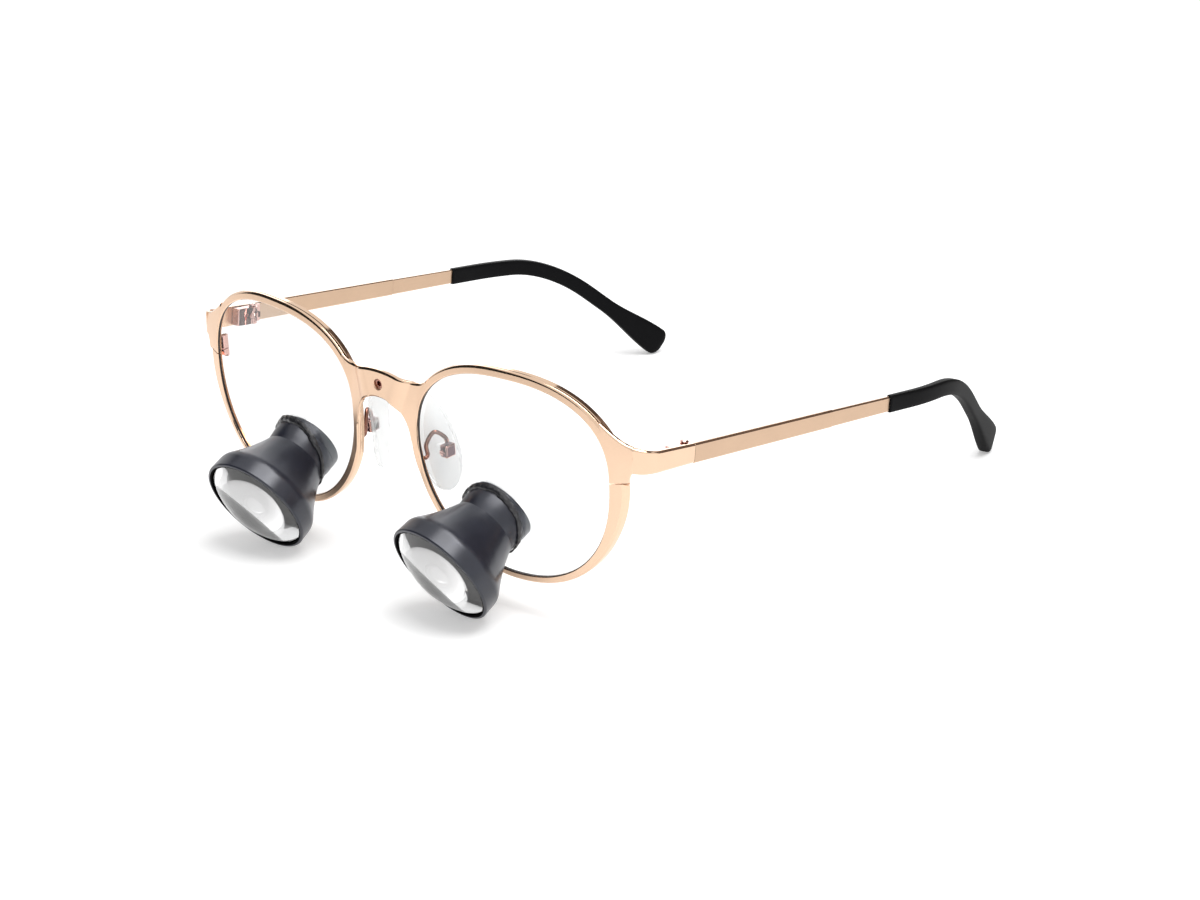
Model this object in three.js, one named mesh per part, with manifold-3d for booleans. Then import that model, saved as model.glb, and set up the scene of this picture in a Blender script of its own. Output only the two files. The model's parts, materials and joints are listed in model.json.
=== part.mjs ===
// Surgical loupes: a round metal spectacle frame with a telescope fixed through each lens.
// Millimetres. The pieces are laid out as worn: X to the wearer's left, Y back to the ears, Z up, with the
// hinge pins on Y = 0 and the temples' mid-line on Z = 0. The last step stands the finished loupes on a
// table, on their two objective rims and two temple tips.
import * as THREE from 'three';
import { mergeVertices } from 'three/addons/utils/BufferGeometryUtils.js';
import Module from 'manifold-3d';

// Fits
const BRAZE_GAP = 0.1;
const RUNNING_GAP = 0.09;

// Front: how it is set to the temples, and the dome that its face follows
const FRONT_AHEAD = 22.3;
const FRONT_BELOW = 11.1;
const PANTOSCOPIC_TILT = 10.4;
const FACE_RADIUS = 125;
const FACE_VERTEX = 23.8;

// Lens opening: four superellipse quarters about a point beside the middle
const OPENING_CENTRE = 36.8;
const OPENING_RISE = 3.5;
const OPENING_NASAL = 26.3;
const OPENING_TEMPORAL = 26.5;
const OPENING_UPPER = 19.6;
const OPENING_LOWER = 27.2;
const UPPER_POWER = 2.38;
const LOWER_TEMPORAL_POWER = 2.23;
const LOWER_NASAL_POWER = 2;

// Front plate: rims, bridge and end-pieces cut from one sheet
const PLATE_THICKNESS = 1;
const PLATE_BEVEL = 0.25;
const RIM_WIDTH = 1.9;
const RIM_WIDTH_AT_SLIT = 3.4;
const RIM_WIDENING = 0.42;
const SLIT_RISE = 3.9;
const SLIT_WIDTH = 0.25;
const BRIDGE_TOP = 17.2;
const BRIDGE_TOP_DIP = 1.2;
const BRIDGE_HALF_SPAN = 9;
const BRIDGE_REACH = 12.8;
const BRIDGE_FILLET_RADIUS = 7;
const BRIDGE_BOW = 2;
const BRIDGE_FLANK = 3.4;
const CREASE_LEAN = 0.35;
const NOSE_ARCH_CREST = 10.8;
const NOSE_ARCH_HALF_WIDTH = 8.85;
const NOSE_ARCH_POWER = 2.2;
const BRIDGE_HOLE_RADIUS = 1.3;
const BRIDGE_SCREW_SINK = 0.45;
const END_PIECE_OUTSIDE = 72.2;
const END_PIECE_HEIGHT = 6;
const END_PIECE_REAR_HEIGHT = 5;
const END_PIECE_BEND = 5.5;
const END_PIECE_ROOT = 2.2;
const END_PIECE_FLARE = 4.6;
const END_PIECE_FLARE_POWER = 1.4;
const END_PIECE_CORNER = 0.9;

// Eyewire behind the rim, and the lens that it grips
const EYEWIRE_INSET = 0.1;
const EYEWIRE_WIDTH = 1.5;
const EYEWIRE_DEPTH = 1.8;
const GROOVE_WIDTH = 1;
const GROOVE_DEPTH = 0.6;
const LENS_THICKNESS = 2;
const LENS_EDGE_GAP = 0.12;

// Closing blocks behind the slit
const BLOCK_RADIUS = 0.7;
const BLOCK_REACH = 1.3;
const UPPER_BLOCK_HEIGHT = 3.2;
const LOWER_BLOCK_HEIGHT = 1.4;
const CLOSING_SCREW_RADIUS = 0.38;
const CLOSING_SCREW_HEAD_RADIUS = 0.65;
const CLOSING_SCREW_HEAD_HEIGHT = 0.5;

// Hinge: a front leaf with two knuckles, a temple leaf with one between them, and a screw for the pin
const HINGE_HEIGHT = 4.2;
const KNUCKLE_RADIUS = 1.25;
const MIDDLE_KNUCKLE_HEIGHT = 1.3;
const HINGE_PIN_RADIUS = 0.5;
const HINGE_HEAD_RADIUS = 0.95;
const HINGE_HEAD_HEIGHT = 0.5;
const LEAF_THICKNESS = 2.1;
const FRONT_LEAF_LENGTH = 8;
const FRONT_LEAF_ROOT = 2.6;
const TEMPLE_LEAF_LENGTH = 3.6;
const TEMPLE_LEAF_ROOT = 1.7;

// Temple and its tip
const SEAM_BEHIND_PIN = 1.2;
const TEMPLE_HEIGHT = 4.5;
const TEMPLE_HEIGHT_AT_STEP = 4.1;
const TEMPLE_THICKNESS = 1;
const TEMPLE_STEP = 49.5;
const REAR_HEIGHT = 3.9;
const REAR_HEIGHT_AT_TIP = 3.6;
const REAR_THICKNESS = 0.8;
const TIP_START = 71;
const TIP_END = 138.5;
const INWARD_BEND = 91.5;
const INWARD_ANGLE = 19.3;
const EAR_BEND = 103.8;
const DROP_ANGLE = 35.3;
const BEND_REACH = 12;
const TIP_HEIGHT = 4.2;
const TIP_THICKNESS = 1.8;
const DROP_HEIGHT = 3.9;
const DROP_THICKNESS = 2.7;
const PADDLE_HEIGHT = 7.4;
const PADDLE_LENGTH = 22;
const PADDLE_ROUNDING = 2.4;
const CORE_HEIGHT = 2.4;
const CORE_LENGTH = 46;

// Nosepiece: wire arms, boxes and one soft saddle over the nose
const PAD_WIRE_RADIUS = 0.5;
const PAD_ARM_FOOT = -3.6;
const PAD_ARM_LEAVES = -1.2;
const PAD_ARM_TOP = 2.9;
const PAD_BOX_SIDE = 12.4;
const PAD_BOX_BACK = 8.1;
const PAD_BOX_RISE = -2;
const PAD_BOX_WIDTH = 2.2;
const PAD_BOX_DEPTH = 3.4;
const PAD_BOX_HEIGHT = 3.4;
const PAD_BOX_WALL = 0.55;
const PAD_SCREW_RADIUS = 0.4;
const PAD_SCREW_HEAD_RADIUS = 0.7;
const PAD_SCREW_HEAD_HEIGHT = 0.4;
const SADDLE_FOOT_SIDE = 10.9;
const SADDLE_FOOT_BACK = 9.6;
const SADDLE_FOOT_RISE = -12.6;
const SADDLE_PAD_SIDE = 9.2;
const SADDLE_SHOULDER_SIDE = 6.9;
const SADDLE_SHOULDER_RISE = 8.5;
const SADDLE_TOP_BACK = 5.6;
const SADDLE_TOP_RISE = 14.4;
const SADDLE_PAD_WIDTH = 10;
const SADDLE_STRAP_WIDTH = 6.2;
const SADDLE_PAD_THICKNESS = 2;
const SADDLE_STRAP_THICKNESS = 1.5;
const SADDLE_SPLAY = 24;
const SADDLE_STRAP_LEAN = 20;

// Telescopes: where each axis crosses its lens, and the stepped bell along that axis from the front rim
const TELESCOPE_SIDE = 31.3;
const TELESCOPE_RISE = -11.9;
const DECLINATION = 35.2;
const CONVERGENCE = 3.8;
const RIM_TO_LENS = 17.9;
const BELL_RADIUS = 13.6;
const BELL_CHAMFER = 0.4;
const RIDGE_RADIUS = 13.4;
const RIDGE_AT = 4.6;
const NECK_RADIUS = 7.7;
const NECK_AT = 15.6;
const COLLAR_RADIUS = 8;
const COLLAR_AT = 18;
const HOUSING_LENGTH = 19.9;
const HOUSING_WALL = 0.9;
const CONE_HOLLOW = 0.5;
const OBJECTIVE_RADIUS = 12.8;
const OBJECTIVE_RECESS = 0.65;
const OBJECTIVE_SAG = 5;
const OBJECTIVE_EDGE = 1.6;
const CEMENT_SAG = 0.9;
const FLINT_EDGE = 2;
const FLINT_BACK_SAG = -2;
const OBJECTIVE_RING_RADIUS = 12.45;
const EYEPIECE_LENGTH = 2.3;
const EYEPIECE_SPIGOT = 3;
const EYEPIECE_WALL = 0.8;
const EYE_LENS_THICKNESS = 1.6;
const EYE_LENS_SAG = 0.5;
const EYE_RING_DEPTH = 0.7;
const BEAD_WIDTH = 0.75;
const BEAD_UNEVEN = 0.35;
const BEAD_HEIGHT = 1.1;

// Fineness of the curved surfaces
const OPENING_STATIONS = 44;
const ROUND_SIDES = 26;
const EYEPIECE_SIDES = 20;
const SCREW_SIDES = 12;
const WIRE_SIDES = 8;

// Worked out from the sizes above
const rad = THREE.MathUtils.degToRad;
const TILT = rad(PANTOSCOPIC_TILT);
const PIN_SIDE = END_PIECE_OUTSIDE - PLATE_THICKNESS - KNUCKLE_RADIUS - RUNNING_GAP;
const EYEWIRE_FRONT = PLATE_THICKNESS + BRAZE_GAP;
const EYEWIRE_BACK = EYEWIRE_FRONT + EYEWIRE_DEPTH;
const GROOVE_MIDDLE = EYEWIRE_FRONT + EYEWIRE_DEPTH / 2;
const LENS_FRONT = GROOVE_MIDDLE - LENS_THICKNESS / 2;

const wasm = await Module();
wasm.setup();

// Turns a closed surface so that its faces point out.
function outward(geometry) {
  const position = geometry.getAttribute('position');
  const index = geometry.getIndex().array;
  const a = new THREE.Vector3();
  const b = new THREE.Vector3();
  const c = new THREE.Vector3();
  let volume = 0;
  for (let i = 0; i < index.length; i += 3) {
    a.fromBufferAttribute(position, index[i]);
    b.fromBufferAttribute(position, index[i + 1]);
    c.fromBufferAttribute(position, index[i + 2]);
    volume += a.dot(b.cross(c));
  }
  if (volume < 0) index.reverse();
  return geometry;
}

// Keeps only positions and joins the vertices that coincide.
function welded(geometry) {
  const plain = geometry.clone();
  plain.deleteAttribute('normal');
  plain.deleteAttribute('uv');
  return outward(mergeVertices(plain, 1e-5));
}

function solid(geometry) {
  const closed = welded(geometry);
  const vertProperties = new Float32Array(closed.getAttribute('position').array);
  const triVerts = new Uint32Array(closed.getIndex().array);
  return new wasm.Manifold(new wasm.Mesh({ numProp: 3, vertProperties, triVerts }));
}

function geometryOf(manifold) {
  const mesh = manifold.getMesh();
  const geometry = new THREE.BufferGeometry();
  geometry.setAttribute('position', new THREE.BufferAttribute(mesh.vertProperties.slice(), 3));
  geometry.setIndex(new THREE.BufferAttribute(mesh.triVerts.slice(), 1));
  return geometry;
}

function joined(...shapes) {
  return geometryOf(shapes.map(solid).reduce((sum, shape) => sum.add(shape)));
}

function cut(shape, ...tools) {
  return geometryOf(tools.map(solid).reduce((rest, tool) => rest.subtract(tool), solid(shape)));
}

// Surface through rings of points that all run the same way round; open runs are capped.
function loft(rings, closed = false) {
  const count = rings[0].length;
  const points = rings.flat();
  const index = [];
  const spans = closed ? rings.length : rings.length - 1;
  for (let i = 0; i < spans; i++) {
    const here = i * count;
    const next = ((i + 1) % rings.length) * count;
    for (let j = 0; j < count; j++) {
      const k = (j + 1) % count;
      index.push(here + j, here + k, next + k, here + j, next + k, next + j);
    }
  }
  if (!closed) {
    for (const [ring, flip] of [[0, true], [rings.length - 1, false]]) {
      const middle = points.length;
      points.push(rings[ring].reduce((sum, p) => sum.add(p), new THREE.Vector3()).divideScalar(count));
      for (let j = 0; j < count; j++) {
        const corner = ring * count + j;
        const after = ring * count + ((j + 1) % count);
        index.push(middle, flip ? after : corner, flip ? corner : after);
      }
    }
  }
  const geometry = new THREE.BufferGeometry().setFromPoints(points);
  geometry.setIndex(index);
  return outward(geometry);
}

// Turned piece: the profile's [radius, distance] points run about the local Y axis.
function turned(profile, sides = ROUND_SIDES) {
  return new THREE.LatheGeometry(profile.map(([r, y]) => new THREE.Vector2(r, y)), sides);
}

function rod(radius, from, to, sides = SCREW_SIDES) {
  return turned([[0, from], [radius, from], [radius, to], [0, to]], sides);
}

function box(minimum, maximum) {
  const size = new THREE.Vector3().subVectors(maximum, minimum);
  const middle = new THREE.Vector3().addVectors(minimum, maximum).multiplyScalar(0.5);
  return new THREE.BoxGeometry(size.x, size.y, size.z).translate(middle.x, middle.y, middle.z);
}

const vec = (x, y, z) => new THREE.Vector3(x, y, z);
const mix = THREE.MathUtils.lerp;

// Everything sided is drawn on the wearer's left and mirrored for the right.
function sided(geometry, sign) {
  if (sign > 0) return geometry;
  return welded(geometry.clone().applyMatrix4(new THREE.Matrix4().makeScale(-1, 1, 1)));
}

// Depth of the front's face: a shallow dome on each side of the middle.
function face(x, v) {
  const across = Math.abs(x) - FACE_VERTEX;
  return FACE_RADIUS - Math.sqrt(FACE_RADIUS ** 2 - across ** 2 - v ** 2);
}

// A point given as worn, seen in the tilted front's own axes.
function inFront(x, y, z) {
  return vec(x, y + FRONT_AHEAD, z + FRONT_BELOW).applyAxisAngle(vec(1, 0, 0), -TILT);
}

const signedPower = (value, power) => Math.sign(value) * Math.abs(value) ** power;

function openingPoint(t) {
  const c = Math.cos(t);
  const s = Math.sin(t);
  const lowerPower = c < 0 ? LOWER_NASAL_POWER : LOWER_TEMPORAL_POWER;
  const power = s > 0 ? UPPER_POWER : lowerPower;
  const across = (c < 0 ? OPENING_NASAL : OPENING_TEMPORAL) * signedPower(c, 2 / power);
  const up = (s < 0 ? OPENING_LOWER : OPENING_UPPER) * signedPower(s, 2 / power);
  return new THREE.Vector2(OPENING_CENTRE + across, OPENING_RISE + up);
}

// The opening's outline moved outward by a distance that may vary round it.
function openingOffset(t, distance) {
  const step = 0.02;
  const along = openingPoint(t + step).sub(openingPoint(t - step)).normalize();
  const point = openingPoint(t);
  return new THREE.Vector2(point.x + along.y * distance, point.y - along.x * distance);
}

const openingTurns = Array.from({ length: OPENING_STATIONS }, (_, i) => {
  return ((i + 0.5) * 2 * Math.PI) / OPENING_STATIONS;
});

// Ring round the opening: section points are [outward from the edge, back from the face].
function openingRing(section) {
  const rings = openingTurns.map((t) => section(t).map(([out, back]) => {
    const p = openingOffset(t, out);
    return vec(p.x, face(p.x, p.y) + back, p.y);
  }));
  return loft(rings, true);
}

function rimWidth(t) {
  const fromSlit = Math.atan2(Math.sin(t), Math.cos(t));
  return mix(RIM_WIDTH, RIM_WIDTH_AT_SLIT, Math.exp(-((fromSlit / RIM_WIDENING) ** 2)));
}

// Strip of sheet with bevelled front edges: the line runs up its outer face, inward through its thickness.
function stripSection(line, inward) {
  const bottom = line[0];
  const top = line[line.length - 1];
  const between = line.slice(1, -1);
  const edge = top.clone().sub(bottom).setLength(PLATE_BEVEL);
  const sink = inward.clone().setLength(PLATE_BEVEL);
  const back = inward.clone().setLength(PLATE_THICKNESS);
  return [
    bottom.clone().add(sink),
    bottom.clone().add(edge),
    ...between,
    top.clone().sub(edge),
    top.clone().add(sink),
    top.clone().add(back),
    ...between.map((p) => p.clone().add(back)).reverse(),
    bottom.clone().add(back),
  ];
}

// Points from bottom to top of a strip.
function upright(bottom, top) {
  return [0, 0.33, 0.67, 1].map((share) => bottom.clone().lerp(top, share));
}

// Rim face on one side.
function rim() {
  return openingRing((t) => {
    const width = rimWidth(t);
    return [
      [0, PLATE_BEVEL],
      [PLATE_BEVEL, 0],
      [width - PLATE_BEVEL, 0],
      [width, PLATE_BEVEL],
      [width, PLATE_THICKNESS],
      [0, PLATE_THICKNESS],
    ];
  });
}

// Plan angle of the face where the end-piece starts to bend back, found by stepping toward the bend.
function endPieceBendStart(rise) {
  let turn = 0;
  for (let i = 0; i < 8; i++) {
    const x = END_PIECE_OUTSIDE - END_PIECE_BEND * (1 - Math.sin(turn));
    turn = Math.asin((x - FACE_VERTEX) / Math.sqrt(FACE_RADIUS ** 2 - rise ** 2));
  }
  return turn;
}

// End-piece: leaves the rim above its slit, narrows, bends back and runs to the hinge seam.
function endPiece() {
  const pin = inFront(PIN_SIDE, 0, 0);
  const midRise = (w) => pin.z + (pin.y - w) * Math.tan(TILT);
  const turn = endPieceBendStart(midRise(face(END_PIECE_OUTSIDE, 0)));
  const bendX = END_PIECE_OUTSIDE - END_PIECE_BEND;
  const startX = bendX + END_PIECE_BEND * Math.sin(turn);
  const startRise = midRise(face(startX, 0));
  const bendY = face(startX, startRise) + END_PIECE_BEND * Math.cos(turn);
  const half = END_PIECE_HEIGHT / 2;
  const sections = [];
  const rootX = OPENING_CENTRE + OPENING_TEMPORAL - END_PIECE_ROOT;
  const reach = startX - rootX;
  const rootStops = [1, 0.8, 0.6, 0.4].map((share) => mix(END_PIECE_CORNER, reach, share));
  const cornerStops = [1, 0.75, 0.5, 0.25].map((share) => END_PIECE_CORNER * Math.sin(share * Math.PI / 2));
  for (const toBend of [...rootStops, ...cornerStops]) {
    const x = startX - toBend;
    const top = startRise + half + END_PIECE_FLARE * (toBend / reach) ** END_PIECE_FLARE_POWER;
    const corner = Math.min(1, toBend / END_PIECE_CORNER);
    const bottom = mix(startRise - half, SLIT_RISE, 1 - Math.sqrt(1 - corner ** 2));
    const lean = Math.asin((x - FACE_VERTEX) / FACE_RADIUS);
    const inward = vec(-Math.sin(lean), Math.cos(lean), 0);
    const line = upright(vec(x, 0, bottom), vec(x, 0, top));
    line.forEach((p) => p.setY(face(p.x, p.z)));
    sections.push(stripSection(line, inward));
  }
  const bendStations = 6;
  for (let i = 0; i <= bendStations; i++) {
    const share = i / bendStations;
    const angle = mix(turn, Math.PI / 2, share);
    const x = bendX + END_PIECE_BEND * Math.sin(angle);
    const w = bendY - END_PIECE_BEND * Math.cos(angle);
    const inward = vec(-Math.sin(angle), Math.cos(angle), 0);
    const rise = vec(0, Math.sin(TILT) * share, Math.cos(TILT));
    rise.setLength(mix(END_PIECE_HEIGHT, END_PIECE_REAR_HEIGHT, THREE.MathUtils.smoothstep(share, 0, 1)) / 2);
    const middle = vec(x, w, midRise(w));
    sections.push(stripSection(upright(middle.clone().sub(rise), middle.clone().add(rise)), inward));
  }
  const seamHalf = TEMPLE_HEIGHT / 2;
  const seamY = SEAM_BEHIND_PIN - RUNNING_GAP;
  const seamBottom = inFront(END_PIECE_OUTSIDE, seamY, -seamHalf);
  const seamTop = inFront(END_PIECE_OUTSIDE, seamY, seamHalf);
  sections.push(stripSection(upright(seamBottom, seamTop), vec(-1, 0, 0)));
  return loft(sections);
}

// Upright place of the accessory screw, and the side distance of the crease where the bridge meets a rim.
const BRIDGE_MIDDLE = (BRIDGE_TOP + NOSE_ARCH_CREST) / 2;
const bridgeCrease = (v) => BRIDGE_HALF_SPAN - CREASE_LEAN * (BRIDGE_TOP - BRIDGE_TOP_DIP - v);

// Depth of the bridge's face: a flat middle set forward, then curved flanks back to the rims' own dome.
function bridgeDepth(x, v) {
  const across = Math.abs(x);
  const share = THREE.MathUtils.clamp((across - bridgeCrease(v)) / BRIDGE_FLANK + 1, 0, 1);
  const flat = face(BRIDGE_HALF_SPAN, BRIDGE_MIDDLE) + (v - BRIDGE_MIDDLE) * (BRIDGE_MIDDLE / FACE_RADIUS);
  const sunk = BRAZE_GAP / 2 * THREE.MathUtils.smoothstep(across, BRIDGE_HALF_SPAN, BRIDGE_HALF_SPAN + RIM_WIDTH / 2);
  return mix(flat, face(x, v), share) - BRIDGE_BOW * (1 - share ** 2) + sunk;
}

// Upper edge of the bridge: dips toward the rims and rises in a fillet where it runs into them.
function bridgeTop(across) {
  const past = Math.max(0, across - BRIDGE_HALF_SPAN);
  const dip = BRIDGE_TOP_DIP * Math.min(1, across / BRIDGE_HALF_SPAN) ** 2;
  return BRIDGE_TOP - dip + past ** 2 / (2 * BRIDGE_FILLET_RADIUS);
}

// Lower edge of the bridge: a rounded arch over the nose that runs down into both rims.
function noseArch(across) {
  const share = Math.min(1, across / NOSE_ARCH_HALF_WIDTH);
  return NOSE_ARCH_CREST * (1 - share ** NOSE_ARCH_POWER) ** (1 / NOSE_ARCH_POWER);
}

// Bridge: one sheet from inside one rim's edge to inside the other's.
function bridge() {
  const stops = [0, 0.36, 0.5, 0.62, 0.73, 0.82, 0.9, 0.96, 1].map((share) => share * NOSE_ARCH_HALF_WIDTH);
  stops.push(mix(NOSE_ARCH_HALF_WIDTH, BRIDGE_REACH, 0.5), BRIDGE_REACH);
  const sides = [...stops.slice(1).reverse().map((x) => -x), ...stops];
  return loft(sides.map((x) => {
    const line = upright(vec(x, 0, noseArch(Math.abs(x))), vec(x, 0, bridgeTop(Math.abs(x))));
    line.forEach((p) => p.setY(bridgeDepth(p.x, p.z)));
    return stripSection(line, vec(0, 1, 0));
  }));
}

// Space inside a rim's edge, from ahead of the plate to behind it.
function openingCore() {
  const span = END_PIECE_OUTSIDE;
  return loft([-span, span].map((w) => openingTurns.map((t) => {
    const p = openingOffset(t, 0);
    return vec(p.x, w, p.y);
  })));
}

function slit() {
  const inner = OPENING_CENTRE + OPENING_TEMPORAL - RIM_WIDTH_AT_SLIT;
  const outer = OPENING_CENTRE + OPENING_TEMPORAL + 2 * RIM_WIDTH_AT_SLIT;
  const half = SLIT_WIDTH / 2;
  return box(vec(inner, -FACE_RADIUS, SLIT_RISE - half), vec(outer, FACE_RADIUS, SLIT_RISE + half));
}

function bridgeRod(radius, from, length) {
  return rod(radius, from, from + length).translate(0, bridgeDepth(0, BRIDGE_MIDDLE), BRIDGE_MIDDLE);
}

function frontPlate() {
  const halves = [1, -1].flatMap((sign) => [sided(rim(), sign), sided(endPiece(), sign)]);
  const tools = [1, -1].flatMap((sign) => [sided(openingCore(), sign), sided(slit(), sign)]);
  const screwHole = bridgeRod(BRIDGE_HOLE_RADIUS, -PLATE_THICKNESS, 3 * PLATE_THICKNESS);
  return cut(joined(bridge(), ...halves), ...tools, screwHole);
}

// Eyewire: grooved channel behind the rim, open at the slit.
function eyewire() {
  const inner = EYEWIRE_INSET;
  const outer = EYEWIRE_INSET + EYEWIRE_WIDTH;
  const ring = openingRing(() => [
    [inner, EYEWIRE_FRONT],
    [outer, EYEWIRE_FRONT],
    [outer, EYEWIRE_BACK],
    [inner, EYEWIRE_BACK],
    [inner, GROOVE_MIDDLE + GROOVE_WIDTH / 2],
    [inner + GROOVE_DEPTH, GROOVE_MIDDLE],
    [inner, GROOVE_MIDDLE - GROOVE_WIDTH / 2],
  ]);
  return cut(ring, slit());
}

// Carrier lens: shallow shell with a bevel that sits in the eyewire's groove, bored for the telescope.
function carrierLens(bore) {
  const middle = new THREE.Vector2(OPENING_CENTRE, OPENING_RISE - (OPENING_LOWER - OPENING_UPPER) / 2);
  const edge = EYEWIRE_INSET - LENS_EDGE_GAP;
  const tip = edge + GROOVE_DEPTH;
  const half = LENS_THICKNESS / 2;
  const bevel = GROOVE_WIDTH / 2;
  const layout = [
    [0.5, edge, -half],
    [1, edge, -half],
    [1, edge, -bevel],
    [1, tip, 0],
    [1, edge, bevel],
    [1, edge, half],
    [0.5, edge, half],
  ];
  const rings = layout.map(([scale, out, back]) => openingTurns.map((t) => {
    const p = openingOffset(t, out).sub(middle).multiplyScalar(scale).add(middle);
    return vec(p.x, face(p.x, p.y) + GROOVE_MIDDLE + back, p.y);
  }));
  return cut(loft(rings), bore);
}

// Place of the closing blocks' screw: beside the eyewire, behind the widened rim.
function closingAxis() {
  const x = OPENING_CENTRE + OPENING_TEMPORAL + EYEWIRE_INSET + EYEWIRE_WIDTH + BRAZE_GAP + BLOCK_RADIUS;
  const plateBack = face(x + BLOCK_RADIUS, SLIT_RISE + UPPER_BLOCK_HEIGHT) + PLATE_THICKNESS;
  return vec(x, plateBack + 2 * BRAZE_GAP + BLOCK_REACH, SLIT_RISE);
}

// Barrel with a flat front, standing on one face of the slit.
function closingBlock(height, base) {
  const axis = closingAxis();
  const shape = new THREE.Shape();
  shape.moveTo(-BLOCK_RADIUS, -BLOCK_REACH);
  shape.lineTo(BLOCK_RADIUS, -BLOCK_REACH);
  shape.lineTo(BLOCK_RADIUS, 0);
  shape.absarc(0, 0, BLOCK_RADIUS, 0, Math.PI, false);
  shape.lineTo(-BLOCK_RADIUS, -BLOCK_REACH);
  const hole = new THREE.Path();
  hole.absarc(0, 0, CLOSING_SCREW_RADIUS + RUNNING_GAP, 0, 2 * Math.PI, true);
  shape.holes.push(hole);
  const run = { depth: height, bevelEnabled: false, curveSegments: 6 };
  return new THREE.ExtrudeGeometry(shape, run).translate(axis.x, axis.y, axis.z + base);
}

function closingScrew() {
  const axis = closingAxis();
  const bottom = -SLIT_WIDTH / 2 - LOWER_BLOCK_HEIGHT - BRAZE_GAP;
  const top = SLIT_WIDTH / 2 + UPPER_BLOCK_HEIGHT - BLOCK_RADIUS;
  const profile = [
    [0, bottom - CLOSING_SCREW_HEAD_HEIGHT],
    [CLOSING_SCREW_HEAD_RADIUS, bottom - CLOSING_SCREW_HEAD_HEIGHT],
    [CLOSING_SCREW_HEAD_RADIUS, bottom],
    [CLOSING_SCREW_RADIUS, bottom],
    [CLOSING_SCREW_RADIUS, top],
    [0, top],
  ];
  return turned(profile, SCREW_SIDES).rotateX(Math.PI / 2).translate(axis.x, axis.y, axis.z);
}

// Upright round bar about the hinge pin.
function hingeRound(radius, bottom, top, sides = SCREW_SIDES) {
  return rod(radius, bottom, top, sides).rotateX(Math.PI / 2).translate(PIN_SIDE, 0, 0);
}

function pinHole() {
  return hingeRound(HINGE_PIN_RADIUS + RUNNING_GAP, -HINGE_HEIGHT, HINGE_HEIGHT);
}

const LEAF_OUTSIDE = END_PIECE_OUTSIDE - PLATE_THICKNESS - BRAZE_GAP;

function hingeFrontLeaf() {
  const half = HINGE_HEIGHT / 2;
  const slot = MIDDLE_KNUCKLE_HEIGHT / 2 + RUNNING_GAP;
  const inside = LEAF_OUTSIDE - LEAF_THICKNESS;
  const root = box(vec(inside, -FRONT_LEAF_LENGTH, -half), vec(LEAF_OUTSIDE, -FRONT_LEAF_ROOT, half));
  const pieces = [];
  for (const [bottom, top] of [[slot, half], [-half, -slot]]) {
    const webEnd = vec(LEAF_OUTSIDE, 0, top);
    pieces.push(box(vec(PIN_SIDE - KNUCKLE_RADIUS * 0.8, -FRONT_LEAF_ROOT - BRAZE_GAP, bottom), webEnd));
    pieces.push(hingeRound(KNUCKLE_RADIUS, bottom, top));
  }
  return cut(joined(root, ...pieces), pinHole());
}

function hingeTempleLeaf() {
  const half = HINGE_HEIGHT / 2;
  const tongue = MIDDLE_KNUCKLE_HEIGHT / 2;
  const inside = LEAF_OUTSIDE - LEAF_THICKNESS;
  const root = box(vec(inside, TEMPLE_LEAF_ROOT, -half), vec(LEAF_OUTSIDE, TEMPLE_LEAF_LENGTH, half));
  const web = box(
    vec(PIN_SIDE - KNUCKLE_RADIUS * 0.8, 0, -tongue),
    vec(PIN_SIDE + KNUCKLE_RADIUS * 0.8, TEMPLE_LEAF_ROOT + BRAZE_GAP, tongue),
  );
  const knuckle = hingeRound(KNUCKLE_RADIUS, -tongue, tongue);
  return cut(joined(root, web, knuckle), pinHole());
}

function hingeScrew() {
  const half = HINGE_HEIGHT / 2;
  const seat = half + BRAZE_GAP;
  const profile = [
    [0, -half],
    [HINGE_PIN_RADIUS, -half],
    [HINGE_PIN_RADIUS, seat],
    [HINGE_HEAD_RADIUS, seat],
    [HINGE_HEAD_RADIUS, seat + HINGE_HEAD_HEIGHT * 0.6],
    [HINGE_HEAD_RADIUS * 0.7, seat + HINGE_HEAD_HEIGHT],
    [0, seat + HINGE_HEAD_HEIGHT],
  ];
  return turned(profile, SCREW_SIDES).rotateX(Math.PI / 2).translate(PIN_SIDE, 0, 0);
}

// The temple's mid-line: straight, then turned inward, then down behind the ear.
const STRIP_SIDE = END_PIECE_OUTSIDE - TEMPLE_THICKNESS / 2;

// Straight line that turns gently into a slope of one, within a reach either side of zero.
function turnInto(distance, reach) {
  if (distance <= -reach) return 0;
  if (distance >= reach) return distance;
  return (distance + reach) ** 2 / (4 * reach);
}

class TempleLine extends THREE.Curve {
  getPoint(t) {
    const y = mix(SEAM_BEHIND_PIN, TIP_END, t);
    const inward = turnInto(y - INWARD_BEND, BEND_REACH) * Math.tan(rad(INWARD_ANGLE));
    const down = turnInto(y - EAR_BEND, BEND_REACH) * Math.tan(rad(DROP_ANGLE));
    return vec(STRIP_SIDE - inward, y, -down);
  }
}

// Places a flat section's [thickness, height] points square to the temple's path.
function acrossTemple(path, distance, outline) {
  const share = distance / path.getLength();
  const along = path.getTangentAt(share);
  const middle = path.getPointAt(share);
  const side = new THREE.Vector3().crossVectors(along, vec(0, 0, 1)).normalize();
  const up = new THREE.Vector3().crossVectors(side, along);
  return outline.map(([t, h]) => middle.clone().addScaledVector(side, t).addScaledVector(up, h));
}

// Flat bar with its corners broken.
function bar(thickness, height) {
  const t = thickness / 2;
  const h = height / 2;
  const b = Math.min(thickness, height) * 0.2;
  return [[t, b - h], [t, h - b], [t - b, h], [b - t, h], [-t, h - b], [-t, b - h], [b - t, -h], [t - b, -h]];
}

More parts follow.
